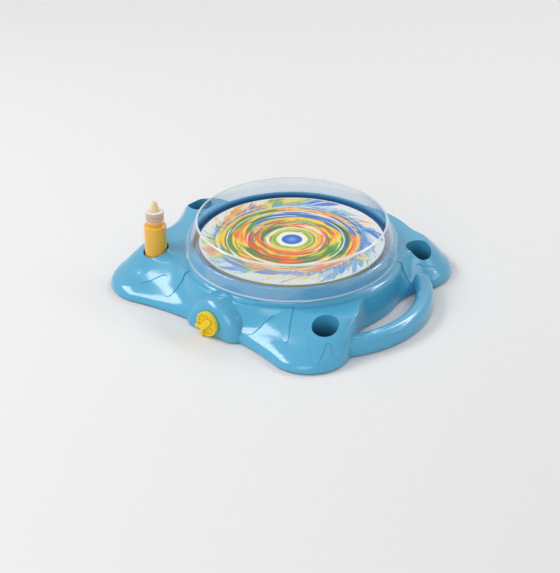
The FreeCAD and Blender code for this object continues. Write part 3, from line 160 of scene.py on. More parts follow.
@dataclass
class Graph:
    """A node tree that is being wired. Numbers and sockets can stand in for each other."""

    tree: bpy.types.NodeTree

    def put(self, kind: str, settings: dict | None = None, **inputs: object) -> bpy.types.Node:
        """Add a node, set its properties and fill its inputs.

        Args:
            kind: The node's type name.
            settings: Properties of the node itself.
            **inputs: Values or sockets by input name, with an underscore for a space.

        Returns:
            The new node.
        """
        made = self.tree.nodes.new(kind)
        for name, value in (settings or {}).items():
            setattr(made, name, value)
        for name, value in inputs.items():
            self.feed(made.inputs[name.replace("_", " ")], value)
        return made

    def feed(self, socket: Socket, value: object) -> None:
        """Link a socket to an input, or set the input's own value.

        Args:
            socket: The input.
            value: A socket, or a value for the input.
        """
        if isinstance(value, Socket):
            self.tree.links.new(value, socket)
        else:
            socket.default_value = value

    def place(self) -> Socket:
        """Return the place on the piece, in its own coordinates."""
        return self.put("ShaderNodeTexCoord").outputs["Object"]

    def along(self, axis: str) -> Socket:
        """Return the place on the piece along one axis, "X", "Y" or "Z"."""
        return self.put("ShaderNodeSeparateXYZ", Vector=self.place()).outputs[axis]

    def sum_up(self, operation: str, *values: Number) -> Socket:
        """Join numbers with a math node.

        Args:
            operation: The math node's operation.
            *values: Numbers or sockets, in the node's order.

        Returns:
            The result's socket.
        """
        made = self.put("ShaderNodeMath", {"operation": operation})
        for index, value in enumerate(values):
            self.feed(made.inputs[index], value)
        return made.outputs[0]

    def swing(self, value: Number, width: Number) -> Socket:
        """Turn a number from 0 to 1 into one that swings about nought, over a width."""
        return self.sum_up("MULTIPLY", self.sum_up("SUBTRACT", value, 0.5), width)

    def eased(self, value: Number, step: Ease) -> Socket:
        """Turn a number into another along a smooth step.

        Args:
            value: The number.
            step: The step.

        Returns:
            The new number's socket.
        """
        made = self.put("ShaderNodeMapRange", {"interpolation_type": "SMOOTHSTEP"}, Value=value,
                        From_Min=step.start, From_Max=step.end, To_Min=step.before, To_Max=step.after)
        return made.outputs["Result"]

    def between(self, value: Number, low: float, high: float, fade_in: float, fade_out: float) -> Socket:
        """Mark where a number lies between two others.

        Args:
            value: The number.
            low: Where the mark starts.
            high: Where the mark ends.
            fade_in: How far the mark takes to rise after its start.
            fade_out: How far the mark takes to fall before its end.

        Returns:
            The mark's socket, 0 outside and 1 inside.
        """
        rising = self.eased(value, Ease(low, low + fade_in))
        falling = self.eased(value, Ease(high - fade_out, high, 1.0, 0.0))
        return self.sum_up("MULTIPLY", rising, falling)

    def mixed(self, share: Number, first: Socket | tuple, second: Socket | tuple) -> Socket:
        """Mix two colours.

        Args:
            share: How much of the second colour there is, from 0 to 1.
            first: The first colour.
            second: The second colour.

        Returns:
            The mixed colour's socket.
        """
        made = self.put("ShaderNodeMix", {"data_type": "RGBA"})
        self.feed(made.inputs["Factor"], share)
        self.feed(made.inputs[6], first)
        self.feed(made.inputs[7], second)
        return made.outputs[2]

    def layered(self, share: Number, below: Socket, above: Socket) -> Socket:
        """Lay one shader over another.

        Args:
            share: How much of the upper shader shows, from 0 to 1.
            below: The lower shader.
            above: The upper shader.

        Returns:
            The joined shader's socket.
        """
        made = self.put("ShaderNodeMixShader")
        for index, value in enumerate((share, below, above)):
            self.feed(made.inputs[index], value)
        return made.outputs[0]

    def noise(self, vector: Socket, scale: Number, detail: float = 2.0, rough: float = 0.5) -> Socket:
        """Add a noise texture.

        Args:
            vector: Where the noise is read.
            scale: How fine it is.
            detail: How many finer layers it has.
            rough: How strong the finer layers are.

        Returns:
            The socket of its value from 0 to 1.
        """
        made = self.put("ShaderNodeTexNoise", Vector=vector, Scale=scale, Detail=detail,
                        Roughness=rough)
        return made.outputs["Fac"]

    def ramp(self, value: Socket, stops: Stops) -> Socket:
        """Turn a number into a colour.

        Args:
            value: The number, from 0 to 1.
            stops: Places and the display colours there, in order.

        Returns:
            The colour's socket.
        """
        made = self.put("ShaderNodeValToRGB", Fac=value)
        elements = made.color_ramp.elements
        ready = len(elements)
        for index, (place, colour) in enumerate(stops):
            stop = elements[index] if index < ready else elements.new(place)
            stop.position = place
            stop.color = linear(*colour)
        return made.outputs["Color"]


def open_group(name: str, inputs: dict[str, float], outputs: tuple[str, ...]) -> tuple[Graph, dict, dict]:
    """Start a shader node group with named inputs and outputs, all of them numbers.

    Args:
        name: The group's name.
        inputs: Inputs and their usual values.
        outputs: Output names.

    Returns:
        The group's graph, its input sockets and its output sockets by name.
    """
    tree = bpy.data.node_groups.new(name, "ShaderNodeTree")
    for label, usual in inputs.items():
        socket = tree.interface.new_socket(label, in_out="INPUT", socket_type="NodeSocketFloat")
        socket.default_value = usual
    for label in outputs:
        tree.interface.new_socket(label, in_out="OUTPUT", socket_type="NodeSocketFloat")
    graph = Graph(tree)
    entry = graph.put("NodeGroupInput")
    leave = graph.put("NodeGroupOutput")
    return graph, {s.name: s for s in entry.outputs}, {s.name: s for s in leave.inputs}


def open_material(name: str, **inputs: object) -> tuple[bpy.types.Material, Graph, bpy.types.Node]:
    """Start a material with one Principled shader.

    Args:
        name: The material's name.
        **inputs: The shader's own values by input name, with an underscore for a space.

    Returns:
        The material, its graph and the shader node.
    """
    made = bpy.data.materials.new(name)
    made.use_nodes = True
    made.node_tree.nodes.clear()
    graph = Graph(made.node_tree)
    shader = graph.put("ShaderNodeBsdfPrincipled", **inputs)
    graph.put("ShaderNodeOutputMaterial", Surface=shader.outputs["BSDF"])
    return made, graph, shader


class Effects:
    """The shader node groups that several finishes share."""

    SCUFF_EDGE = Ease(0.55, 0.75)
    SCUFF_TURN = (0.4, 0.7, 0.9)
    SCUFF_STRETCH = (1.0, 9.0, 3.0)

    def __init__(self) -> None:
        """Build each group once."""
        self.moulding = self.build_moulding()
        self.scuffs = self.build_scuffs()
        self.spun = self.build_spun()

    @staticmethod
    def build_moulding() -> bpy.types.NodeTree:
        """Build the soft mottle and the faint orange peel of moulded plastic.

        Returns:
            The group.
        """
        graph, given, made = open_group("moulding", {"Mottle": 0.06, "Grain": 700.0}, ("Tone", "Height"))
        place = graph.place()
        cloud = graph.noise(place, scale=22.0, detail=3.0)
        graph.feed(made["Tone"], graph.sum_up("ADD", graph.swing(cloud, given["Mottle"]), 0.5))
        graph.feed(made["Height"], graph.noise(place, given["Grain"]))
        return graph.tree

    @classmethod
    def build_scuffs(cls) -> bpy.types.NodeTree:
        """Build the fine handling marks that dull a gloss in places.

        Returns:
            The group.
        """
        graph, given, made = open_group("scuffs", {"Amount": 0.1, "Size": 60.0}, ("Mask",))
        turned = graph.put("ShaderNodeMapping", Vector=graph.place(), Rotation=cls.SCUFF_TURN,
                           Scale=cls.SCUFF_STRETCH)
        marks = graph.noise(turned.outputs["Vector"], given["Size"], detail=6.0)
        lines = graph.eased(marks, cls.SCUFF_EDGE)
        graph.feed(made["Mask"], graph.sum_up("MULTIPLY", lines, given["Amount"]))
        return graph.tree

    @staticmethod
    def build_spun() -> bpy.types.NodeTree:
        """Build streaks that were spun about the Z axis. They close on themselves, with no seam.

        Returns:
            The group.
        """
        graph, given, made = open_group(
            "spun", {"Twist": 30.0, "Round": 1.0, "Outward": 100.0, "Shift": 0.0}, ("Streak", "Radius"))
        split = graph.put("ShaderNodeSeparateXYZ", Vector=graph.place())
        flat = graph.put("ShaderNodeCombineXYZ", X=split.outputs["X"], Y=split.outputs["Y"])
        reach = graph.put("ShaderNodeVectorMath", {"operation": "LENGTH"})
        graph.feed(reach.inputs[0], flat.outputs[0])
        radius = reach.outputs["Value"]
        direction = graph.sum_up("ARCTAN2", split.outputs["Y"], split.outputs["X"])
        turned = graph.sum_up("ADD", direction, graph.sum_up("MULTIPLY", radius, given["Twist"]))
        around_x = graph.sum_up("MULTIPLY", graph.sum_up("COSINE", turned), given["Round"])
        around_y = graph.sum_up("MULTIPLY", graph.sum_up("SINE", turned), given["Round"])
        outward = graph.sum_up("ADD", graph.sum_up("MULTIPLY", radius, given["Outward"]), given["Shift"])
        spot = graph.put("ShaderNodeCombineXYZ", X=around_x, Y=around_y, Z=outward)
        graph.feed(made["Streak"], graph.noise(spot.outputs[0], scale=1.0, detail=3.0, rough=0.55))
        graph.feed(made["Radius"], radius)
        return graph.tree


def use_group(graph: Graph, group: bpy.types.NodeTree, **inputs: float) -> bpy.types.Node:
    """Place a node group in a graph with its own values."""
    return graph.put("ShaderNodeGroup", {"node_tree": group}, **inputs)


def toned(graph: Graph, tone: Socket, colour: Colour, dark: float, light: float) -> Socket:
    """Vary a colour between a darker and a lighter share of its light.

    Args:
        graph: The material's graph.
        tone: The tone from 0, dark, to 1, light.
        colour: The display colour.
        dark: The darker share.
        light: The lighter share.

    Returns:
        The varied colour's socket.
    """
    base = linear(*colour)[:3]
    ends = [(*(min(part * share, 1.0) for part in base), 1.0) for share in (dark, light)]
    return graph.mixed(tone, *ends)


def scuffed(graph: Graph, effects: Effects, rough: float, amount: float, size: float = 60.0) -> Socket:
    """Make a roughness that handling marks raise in places.

    Args:
        graph: The material's graph.
        effects: The shared node groups.
        rough: The roughness between the marks.
        amount: How much the marks add.
        size: How fine they are.

    Returns:
        The roughness's socket.
    """
    marks = use_group(graph, effects.scuffs, Amount=amount, Size=size)
    return graph.sum_up("ADD", marks.outputs["Mask"], rough)


def emboss(graph: Graph, shader: bpy.types.Node, height: Socket, strength: float, depth: float) -> None:
    """Give a shader a fine relief.

    Args:
        graph: The material's graph.
        shader: The shader node.
        height: The relief's height from 0 to 1.
        strength: How strongly it shows.
        depth: Its depth in metres.
    """
    bump = graph.put("ShaderNodeBump", Strength=strength, Distance=depth, Height=height)
    graph.feed(shader.inputs["Normal"], bump.outputs["Normal"])


# ---------------------------------------------------------------- finishes


@dataclass(frozen=True)
class Plastic:
    """A moulded plastic."""

    name: str
    colour: Colour
    rough: float = 0.18
    mottle: float = 0.06
    grain: float = 700.0
    bump: float = 0.02
    bump_depth: float = 0.0002
    scuff: float = 0.08
    coat: float = 0.0
    gloss: float = 0.04
    shine: float = 0.5
    bending: float = 1.5
    depth: float = 0.0
    depth_radius: Triple = (0.003, 0.003, 0.002)
    dark: float = 0.72
    light: float = 1.28

    def build(self, effects: Effects) -> bpy.types.Material:
        """Wire the plastic's shader.

        Args:
            effects: The shared node groups.

        Returns:
            The material.
        """
        made, graph, shader = open_material(
            self.name, Coat_Weight=self.coat, Coat_Roughness=self.gloss, IOR=self.bending,
            Specular_IOR_Level=self.shine, Subsurface_Weight=self.depth,
            Subsurface_Radius=self.depth_radius)
        moulding = use_group(graph, effects.moulding, Mottle=self.mottle, Grain=self.grain)
        graph.feed(shader.inputs["Base Color"], self.tint(graph, moulding.outputs["Tone"]))
        graph.feed(shader.inputs["Roughness"], scuffed(graph, effects, self.rough, self.scuff))
        emboss(graph, shader, moulding.outputs["Height"], self.bump, self.bump_depth)
        return made

    def tint(self, graph: Graph, tone: Socket) -> Socket:
        """Vary the colour with the moulding's tone."""
        return toned(graph, tone, self.colour, self.dark, self.light)


@dataclass(frozen=True)
class Shell(Plastic):
    """The housing's glossy plastic, with painted shade in the bottle wells that darkens towards their foot."""

    # The painted shade in the bottle wells: where the wells stand, how far the shade reaches, its share by height
    # and its colour.
    wells: tuple[Span, ...] = ()
    well_radius: float = 0.0119
    well_fade: float = 0.0002
    well_shade_by_height: Ease = Ease(0.008, 0.030, 0.85, 0.1)
    well_painted_shade: Colour = (0.10, 0.30, 0.38)

    def tint(self, graph: Graph, tone: Socket) -> Socket:
        """Vary the colour, and paint shade into each well, darker towards its foot.

        Args:
            graph: The material's graph.
            tone: The moulding's tone.

        Returns:
            The colour's socket.
        """
        split = graph.put("ShaderNodeSeparateXYZ", Vector=graph.place())
        flat = graph.put("ShaderNodeCombineXYZ", X=split.outputs["X"], Y=split.outputs["Y"]).outputs[0]
        nearest = 1.0
        for x, y in self.wells:
            gap = graph.put("ShaderNodeVectorMath", {"operation": "DISTANCE"})
            graph.feed(gap.inputs[0], flat)
            gap.inputs[1].default_value = (x, y, 0.0)
            nearest = graph.sum_up("MINIMUM", nearest, gap.outputs["Value"])
        # Painted shade: a darker colour is mixed in inside each well, more of it towards the well's foot.
        edge = Ease(self.well_radius, self.well_radius + self.well_fade, 1.0, 0.0)
        share = graph.sum_up("MULTIPLY", graph.eased(nearest, edge),
                             graph.eased(split.outputs["Z"], self.well_shade_by_height))
        return graph.mixed(share, super().tint(graph, tone), linear(*self.well_painted_shade))


@dataclass(frozen=True)
class ClearPlastic:
    """A thin wall of clear moulded plastic: it mirrors at its edges, has a faint haze, and has whiter haze painted
    in its thick lips as a rim highlight.
    """

    name: str
    colour: Colour = (0.97, 0.99, 1.0)
    rough: float = 0.03
    scuff: float = 0.05
    scuff_size: float = 40.0
    haze: float = 0.05
    haze_colour: Colour = (0.86, 0.90, 0.94)
    haze_rough: float = 0.35
    edge_blend: float = 0.32
    edge_haze: Ease = Ease(0.72, 1.0, 0.0, 0.55)
    mirror_blend: float = 0.5
    mirror_power: float = 4.0
    mirror_edge: float = 0.7
    mirror_face: float = 0.045
    # Heights of the lips that get a painted highlight: a band of whiter haze.
    lips: tuple[Span, ...] = ()
    lip_fade: float = 0.0002
    lip_painted_highlight: float = 0.6
    fill: Colour | None = None
    fill_top: float = 0.0
    fill_fade: float = 0.0004
    fill_wave: float = 0.0012
    fill_wave_scale: float = 120.0
    fill_thin: float = 0.94

    def build(self, effects: Effects) -> bpy.types.Material:
        """Wire the clear plastic's shader.

        Args:
            effects: The shared node groups.

        Returns:
            The material.
        """
        made, graph, shader = open_material(
            self.name, Base_Color=linear(*self.haze_colour), Roughness=self.haze_rough)
        through = graph.put("ShaderNodeBsdfTransparent", Color=linear(*self.colour))
        wall = graph.layered(self.cloud(graph), through.outputs[0], shader.outputs[0])
        rough = scuffed(graph, effects, self.rough, self.scuff, self.scuff_size)
        mirror = graph.put("ShaderNodeBsdfGlossy", Color=WHITE, Roughness=rough)
        grazing = graph.put("ShaderNodeLayerWeight", Blend=self.mirror_blend).outputs["Facing"]
        falloff = graph.sum_up("POWER", grazing, self.mirror_power)
        share = graph.sum_up("MULTIPLY_ADD", falloff, self.mirror_edge, self.mirror_face)
        surface = graph.layered(share, wall, mirror.outputs[0])
        if self.fill:
            surface = self.filled(graph, surface)
        leave = next(node for node in graph.tree.nodes if node.type == "OUTPUT_MATERIAL")
        graph.feed(leave.inputs["Surface"], surface)
        return made

    def cloud(self, graph: Graph) -> Socket:
        """Work out how hazy the wall is: more where it turns away, and more in its thick lips, where the extra
        whitish haze is a painted highlight along the rims.

        Args:
            graph: The material's graph.

        Returns:
            The haze's socket.
        """
        facing = graph.put("ShaderNodeLayerWeight", Blend=self.edge_blend).outputs["Facing"]
        cloud = graph.sum_up("ADD", graph.eased(facing, self.edge_haze), self.haze)
        # Painted highlight: extra whitish haze over the height of each lip.
        for low, high in self.lips:
            highlight_band = graph.between(graph.along("Z"), low, high, self.lip_fade, self.lip_fade)
            cloud = graph.sum_up("ADD", cloud, graph.sum_up("MULTIPLY", highlight_band, self.lip_painted_highlight))
        return cloud

    def filled(self, graph: Graph, clear: Socket) -> Socket:
        """Show the paint that coats the wall up to the level of the fill.

        Args:
            graph: The material's graph.
            clear: The clear shader, which stays above the fill.

        Returns:
            The joined shader's socket.
        """
        place = graph.place()
        height = graph.put("ShaderNodeSeparateXYZ", Vector=place).outputs["Z"]
        wave = graph.noise(place, self.fill_wave_scale)
        level = graph.sum_up("ADD", height, graph.sum_up("MULTIPLY", wave, self.fill_wave))
        edge = Ease(self.fill_top - self.fill_fade, self.fill_top + self.fill_fade, 1.0, 0.0)
        thin = linear(*(part * self.fill_thin for part in self.fill))
        coat = graph.put("ShaderNodeBsdfPrincipled", Roughness=0.14, Coat_Weight=0.6,
                         Coat_Roughness=0.03, Base_Color=graph.mixed(wave, thin, linear(*self.fill)))
        return graph.layered(graph.eased(level, edge), clear, coat.outputs[0])


@dataclass(frozen=True)
class Metal:
    """A plated or brushed metal."""

    name: str
    colour: Colour
    rough: float
    brushed: float = 0.12
    brush_size: float = 220.0
    mottle: float = 0.25
    grain: float = 2200.0
    bump: float = 0.06
    bump_depth: float = 0.0002
    dark: float = 0.7
    light: float = 1.2

    def build(self, effects: Effects) -> bpy.types.Material:
        """Wire the metal's shader.

        Args:
            effects: The shared node groups.

        Returns:
            The material.
        """
        made, graph, shader = open_material(self.name, Metallic=1.0)
        moulding = use_group(graph, effects.moulding, Mottle=self.mottle, Grain=self.grain)
        graph.feed(shader.inputs["Base Color"],
                   toned(graph, moulding.outputs["Tone"], self.colour, self.dark, self.light))
        graph.feed(shader.inputs["Roughness"],
                   scuffed(graph, effects, self.rough, self.brushed, self.brush_size))
        emboss(graph, shader, moulding.outputs["Height"], self.bump, self.bump_depth)
        return made


@dataclass(frozen=True)
class CellSkin:
    """A D cell that lies along X: a plain printed sleeve between two bright steel ends."""

    name: str
    node: str
    left_end: float = 0.0012
    right_end: float = 0.0028
    fade: float = 0.0003
    sleeve: Colour = (0.17, 0.18, 0.20)
    sleeve_dark: Colour = (0.13, 0.14, 0.16)
    steel: Colour = (0.78, 0.78, 0.80)
    rough: float = 0.22
    scuff: float = 0.15

    def build(self, effects: Effects) -> bpy.types.Material:
        """Wire the cell's shader.

        Args:
            effects: The shared node groups.

        Returns:
            The material.
        """
        made, graph, shader = open_material(self.name)
        low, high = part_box(self.node)
        sleeve = graph.between(graph.along("X"), low.x + self.left_end, high.x - self.right_end,
                               self.fade, self.fade)
        cloud = use_group(graph, effects.moulding, Mottle=0.2, Grain=1500.0)
        printed = graph.mixed(cloud.outputs["Tone"], linear(*self.sleeve_dark), linear(*self.sleeve))
        graph.feed(shader.inputs["Base Color"], graph.mixed(sleeve, linear(*self.steel), printed))
        graph.feed(shader.inputs["Metallic"], graph.sum_up("SUBTRACT", 1.0, sleeve))
        graph.feed(shader.inputs["Roughness"], scuffed(graph, effects, self.rough, self.scuff))
        return made


@dataclass(frozen=True)
class Spin:
    """Noise that was spun about the middle."""

    twist: float
    around: float
    outward: float
    shift: float

    def lay(self, graph: Graph, effects: Effects) -> bpy.types.Node:
        """Place the spun noise in a graph."""
        return use_group(graph, effects.spun, Twist=self.twist, Round=self.around,
                         Outward=self.outward, Shift=self.shift)


@dataclass(frozen=True)
class Strokes:
    """One colour of paint in turned strokes between two shares of the paper's radius."""

    colour: Colour
    inner: float
    outer: float
    shift: float
    cover: float
    outward: float
    twist: float = 50.0
    around: float = 0.6
    weight: float = 0.95
    edge: float = 0.045
    fade_in: float = 0.06
    fade_out: float = 0.10

    def lay(self, graph: Graph, effects: Effects, below: Socket, share: Socket) -> Socket:
        """Lay the strokes over what is there.

        Args:
            graph: The material's graph.
            effects: The shared node groups.
            below: The colour that is there.
            share: Share of the radius.

        Returns:
            The joined colour's socket.
        """
        spun = Spin(self.twist, self.around, self.outward, self.shift).lay(graph, effects)
        mask = graph.eased(spun.outputs["Streak"],
                           Ease(self.cover, self.cover + self.edge, 0.0, self.weight))
        window = graph.between(share, self.inner, self.outer, self.fade_in, self.fade_out)
        return graph.mixed(graph.sum_up("MULTIPLY", mask, window), below, linear(*self.colour))


@dataclass(frozen=True)
class SpunPaper:
    """Card with spun paint on it: rings, long turned strokes, and flung paint near the edge."""

    name: str
    radius: float = 0.085
    card: Colour = (0.92, 0.92, 0.90)
    rim: Ease = Ease(0.975, 0.99)
    drift: Spin = Spin(42.0, 0.55, 14.0, 2.3)
    drift_pull: Ease = Ease(0.16, 0.50, 0.0, 0.9)
    rays: Spin = Spin(14.0, 26.0, 20.0, 8.1)
    ray_pull: Ease = Ease(0.60, 0.85, 0.0, 0.45)
    relief: Spin = Spin(50.0, 0.9, 500.0, 3.0)
    relief_strength: float = 0.15
    relief_depth: float = 0.0004
    hues: Spin = Spin(6.0, 1.15, 7.0, 5.6)
    hue_spread: Ease = Ease(0.36, 0.64)
    patches: Spin = Spin(22.0, 4.0, 26.0, 3.3)
    patch_share: float = 0.62
    dry: Ease = Ease(0.80, 1.0, -0.045, 0.035)
    wet_edge: Ease = Ease(0.485, 0.52, 0.0, 0.95)
    drop_scale: float = 420.0
    drops: Ease = Ease(0.66, 0.70, 0.0, 0.85)
    ragged: float = 0.9
    fling_edge: Ease = Ease(0.80, 0.90)
    rings: Stops = (
        (0.0, (0.42, 0.66, 0.92)),
        (0.07, (0.12, 0.38, 0.78)),
        (0.105, (0.12, 0.38, 0.78)),
        (0.12, (0.95, 0.96, 0.95)),
        (0.16, (0.95, 0.93, 0.66)),
        (0.18, (0.40, 0.66, 0.26)),
        (0.25, (0.93, 0.86, 0.36)),
        (0.30, (0.95, 0.56, 0.14)),
        (0.36, (0.90, 0.33, 0.12)),
        (0.41, (0.98, 0.84, 0.26)),
        (0.45, (0.36, 0.62, 0.20)),
        (0.54, (0.20, 0.50, 0.22)),
        (0.59, (0.97, 0.84, 0.34)),
        (0.64, (0.93, 0.46, 0.14)),
        (0.71, (0.97, 0.82, 0.40)),
        (0.76, (0.18, 0.47, 0.80)),
        (0.84, (0.50, 0.74, 0.90)),
        (0.90, (0.92, 0.92, 0.90)),
    )
    flung: Stops = (
        (0.0, (0.16, 0.44, 0.80)),
        (0.18, (0.34, 0.66, 0.88)),
        (0.32, (0.42, 0.66, 0.30)),
        (0.46, (0.98, 0.85, 0.28)),
        (0.62, (0.97, 0.66, 0.18)),
        (0.78, (0.92, 0.40, 0.16)),
        (1.0, (0.98, 0.80, 0.24)),
    )
    layers: tuple[Strokes, ...] = (
        Strokes((0.16, 0.44, 0.78), 0.44, 0.96, 12.3, cover=0.55, outward=70.0),
        Strokes((0.90, 0.38, 0.13), 0.26, 0.84, 4.9, cover=0.555, outward=100.0),
        Strokes((0.28, 0.56, 0.20), 0.24, 0.86, 1.7, cover=0.55, outward=120.0),
        Strokes((0.98, 0.82, 0.22), 0.20, 0.98, 7.4, cover=0.575, outward=200.0),
        Strokes((0.10, 0.36, 0.20), 0.30, 0.70, 21.0, cover=0.61, outward=300.0, weight=0.8),
        Strokes((0.94, 0.94, 0.90), 0.10, 0.90, 30.2, cover=0.60, outward=420.0),
        Strokes((0.10, 0.24, 0.50), 0.12, 0.84, 40.6, cover=0.60, outward=480.0, weight=0.75),
    )

    def build(self, effects: Effects) -> bpy.types.Material:
        """Wire the painted paper's shader.

        Args:
            effects: The shared node groups.

        Returns:
            The material.
        """
        made, graph, shader = open_material(self.name, Roughness=0.36, Coat_Weight=0.15,
                                            Coat_Roughness=0.15)
        drift = self.drift.lay(graph, effects)
        share = graph.sum_up("DIVIDE", drift.outputs["Radius"], self.radius)
        rays = self.rays.lay(graph, effects).outputs["Streak"]
        colour = graph.ramp(self.bend(graph, share, drift.outputs["Streak"], rays), self.rings)
        for layer in self.layers:
            colour = layer.lay(graph, effects, colour, share)
        colour = self.fling(graph, effects, colour, share, rays)
        painted = graph.mixed(graph.eased(share, self.rim), colour, linear(*self.card))
        graph.feed(shader.inputs["Base Color"], painted)
        relief = self.relief.lay(graph, effects).outputs["Streak"]
        emboss(graph, shader, relief, self.relief_strength, self.relief_depth)
        return made

    def bend(self, graph: Graph, share: Socket, drift: Socket, rays: Socket) -> Socket:
        """Bend the rings: slowly round the middle and in short rays further out.

        Args:
            graph: The material's graph.
            share: Share of the radius.
            drift: Slow streaks.
            rays: Fine rays.

        Returns:
            The bent share of the radius.
        """
        grown = graph.swing(drift, graph.eased(share, self.drift_pull))
        pulled = graph.swing(rays, graph.eased(share, self.ray_pull))
        return graph.sum_up("ADD", share, graph.sum_up("ADD", grown, pulled))

    def fling(self, graph: Graph, effects: Effects, below: Socket, share: Socket, rays: Socket) -> Socket:
        """Throw paint outwards over the bare card near the edge.

        Args:
            graph: The material's graph.
            effects: The shared node groups.
            below: The colour of the rings.
            share: Share of the radius.
            rays: Fine rays.

        Returns:
            The joined colour's socket.
        """
        hues = self.hues.lay(graph, effects).outputs["Streak"]
        patches = self.patches.lay(graph, effects).outputs["Streak"]
        flung = graph.ramp(graph.eased(hues, self.hue_spread), self.flung)
        wet = graph.sum_up("ADD", graph.sum_up("MULTIPLY", patches, self.patch_share),
                           graph.sum_up("MULTIPLY", rays, 1.0 - self.patch_share))
        wetness = graph.sum_up("SUBTRACT", wet, graph.eased(share, self.dry))
        outer = graph.mixed(graph.eased(wetness, self.wet_edge), linear(*self.card), flung)
        drops = graph.noise(graph.place(), self.drop_scale, detail=1.0)
        outer = graph.mixed(graph.eased(drops, self.drops), outer, flung)
        ragged = graph.sum_up("ADD", share, graph.swing(wet, self.ragged))
        return graph.mixed(graph.eased(ragged, self.fling_edge), below, outer)


class Finish(Enum):
    """Every finish of the machine."""

    BLUE_SHELL = Shell("blue_shell", (0.30, 0.66, 0.81), rough=0.30, coat=1.0, gloss=0.12, shine=0.15,
                       mottle=0.05, wells=well_axes())
    BLUE_BASE = Plastic("blue_base", (0.22, 0.56, 0.70), rough=0.38, bump=0.08)
    DEEP_BLUE = Plastic("deep_blue", (0.24, 0.44, 0.66), rough=0.2)
    YELLOW_PLASTIC = Plastic("yellow_plastic", (0.96, 0.80, 0.10), rough=0.2, depth=0.1)
    WHITE_PLASTIC = Plastic("white_plastic", (0.86, 0.86, 0.83), rough=0.35)
    NOZZLE_TINT = Plastic("nozzle_tint", (0.93, 0.82, 0.64), rough=0.22, depth=0.3)
    PAINT_YELLOW = Plastic("paint_yellow", (0.96, 0.68, 0.13), rough=0.12, depth=0.2)
    FOOT_RUBBER = Plastic("foot_rubber", (0.13, 0.13, 0.14), rough=0.75, bump=0.2, grain=1500.0)
    CELL_SLEEVE = CellSkin("cell_sleeve", "d_cell")
    MAGNET = Plastic("magnet", (0.20, 0.20, 0.21), rough=0.7, bump=0.2)
    LEAD_RED = Plastic("lead_red", (0.76, 0.12, 0.10), rough=0.3)
    LEAD_WHITE = Plastic("lead_white", (0.88, 0.88, 0.85), rough=0.3)
    LEAD_BLACK = Plastic("lead_black", (0.08, 0.08, 0.09), rough=0.3)
    # The guard's and the cap's lips get a painted highlight band of whiter haze.
    CLEAR_GUARD = ClearPlastic("clear_guard", haze=0.06, haze_colour=(0.93, 0.95, 0.97),
                               lips=lips_of("splash_guard", rim=(-0.0010, 0.0003), foot=(-0.0004, 0.0010)))
    CLEAR_CAP = ClearPlastic("clear_cap", haze=0.22, haze_colour=(0.98, 0.95, 0.92),
                             lips=lips_of("nozzle_cap", rim=(-0.0008, 0.0002), foot=(-0.0001, 0.0005)),
                             colour=(0.98, 0.95, 0.91))
    PAINTED_BOTTLE = ClearPlastic("painted_bottle", fill=(0.96, 0.72, 0.20),
                                  fill_top=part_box("bottle_body")[1].z + FILL_OVER)
    SCREW_STEEL = Metal("screw_steel", (0.72, 0.72, 0.74), 0.28)
    MOTOR_STEEL = Metal("motor_steel", (0.70, 0.71, 0.73), 0.32)
    CONTACT_METAL = Metal("contact_metal", (0.80, 0.77, 0.68), 0.25)
    SPUN_PAPER = SpunPaper("spun_paper")


class Finishes:
    """The materials, each built when it is first asked for."""

    def __init__(self) -> None:
        """Build the shared groups; materials follow on demand."""
        self.effects = Effects()
        self.built: dict[Finish, bpy.types.Material] = {}

    def get(self, finish: Finish) -> bpy.types.Material:
        """Find a finish's material, and build it the first time.

        Args:
            finish: The finish.

        Returns:
            The material.
        """
        if finish not in self.built:
            self.built[finish] = finish.value.build(self.effects)
        return self.built[finish]


def dress(node: str, material: bpy.types.Material) -> None:
    """Give a CAD node one material.

    Args:
        node: The node's name.
        material: The material.
    """
    mesh = frame["nodes"][node].data
    mesh.materials.clear()
    mesh.materials.append(material)
    LOG.info("dressed %s with %s", node, material.name)


# ---------------------------------------------------------------- studio


@dataclass(frozen=True)
class Lamp:
    """A soft rectangular light, with its place and size in metres and its power in watts."""

    name: str
    place: Triple
    size: Span
    power: float
    mirrored: bool = True

    def hang(self, target: Vector) -> None:
        """Hang the light and turn it.

        Args:
            target: The point that it faces.
        """
        data = bpy.data.lights.new(self.name, "AREA")
        data.shape = "RECTANGLE"
        data.size, data.size_y = self.size
        data.energy = self.power
        lamp = bpy.data.objects.new(self.name, data)
        bpy.context.scene.collection.objects.link(lamp)
        lamp.location = self.place
        lamp.visible_glossy = self.mirrored
        lamp.rotation_euler = (target - Vector(self.place)).to_track_quat("-Z", "Y").to_euler()


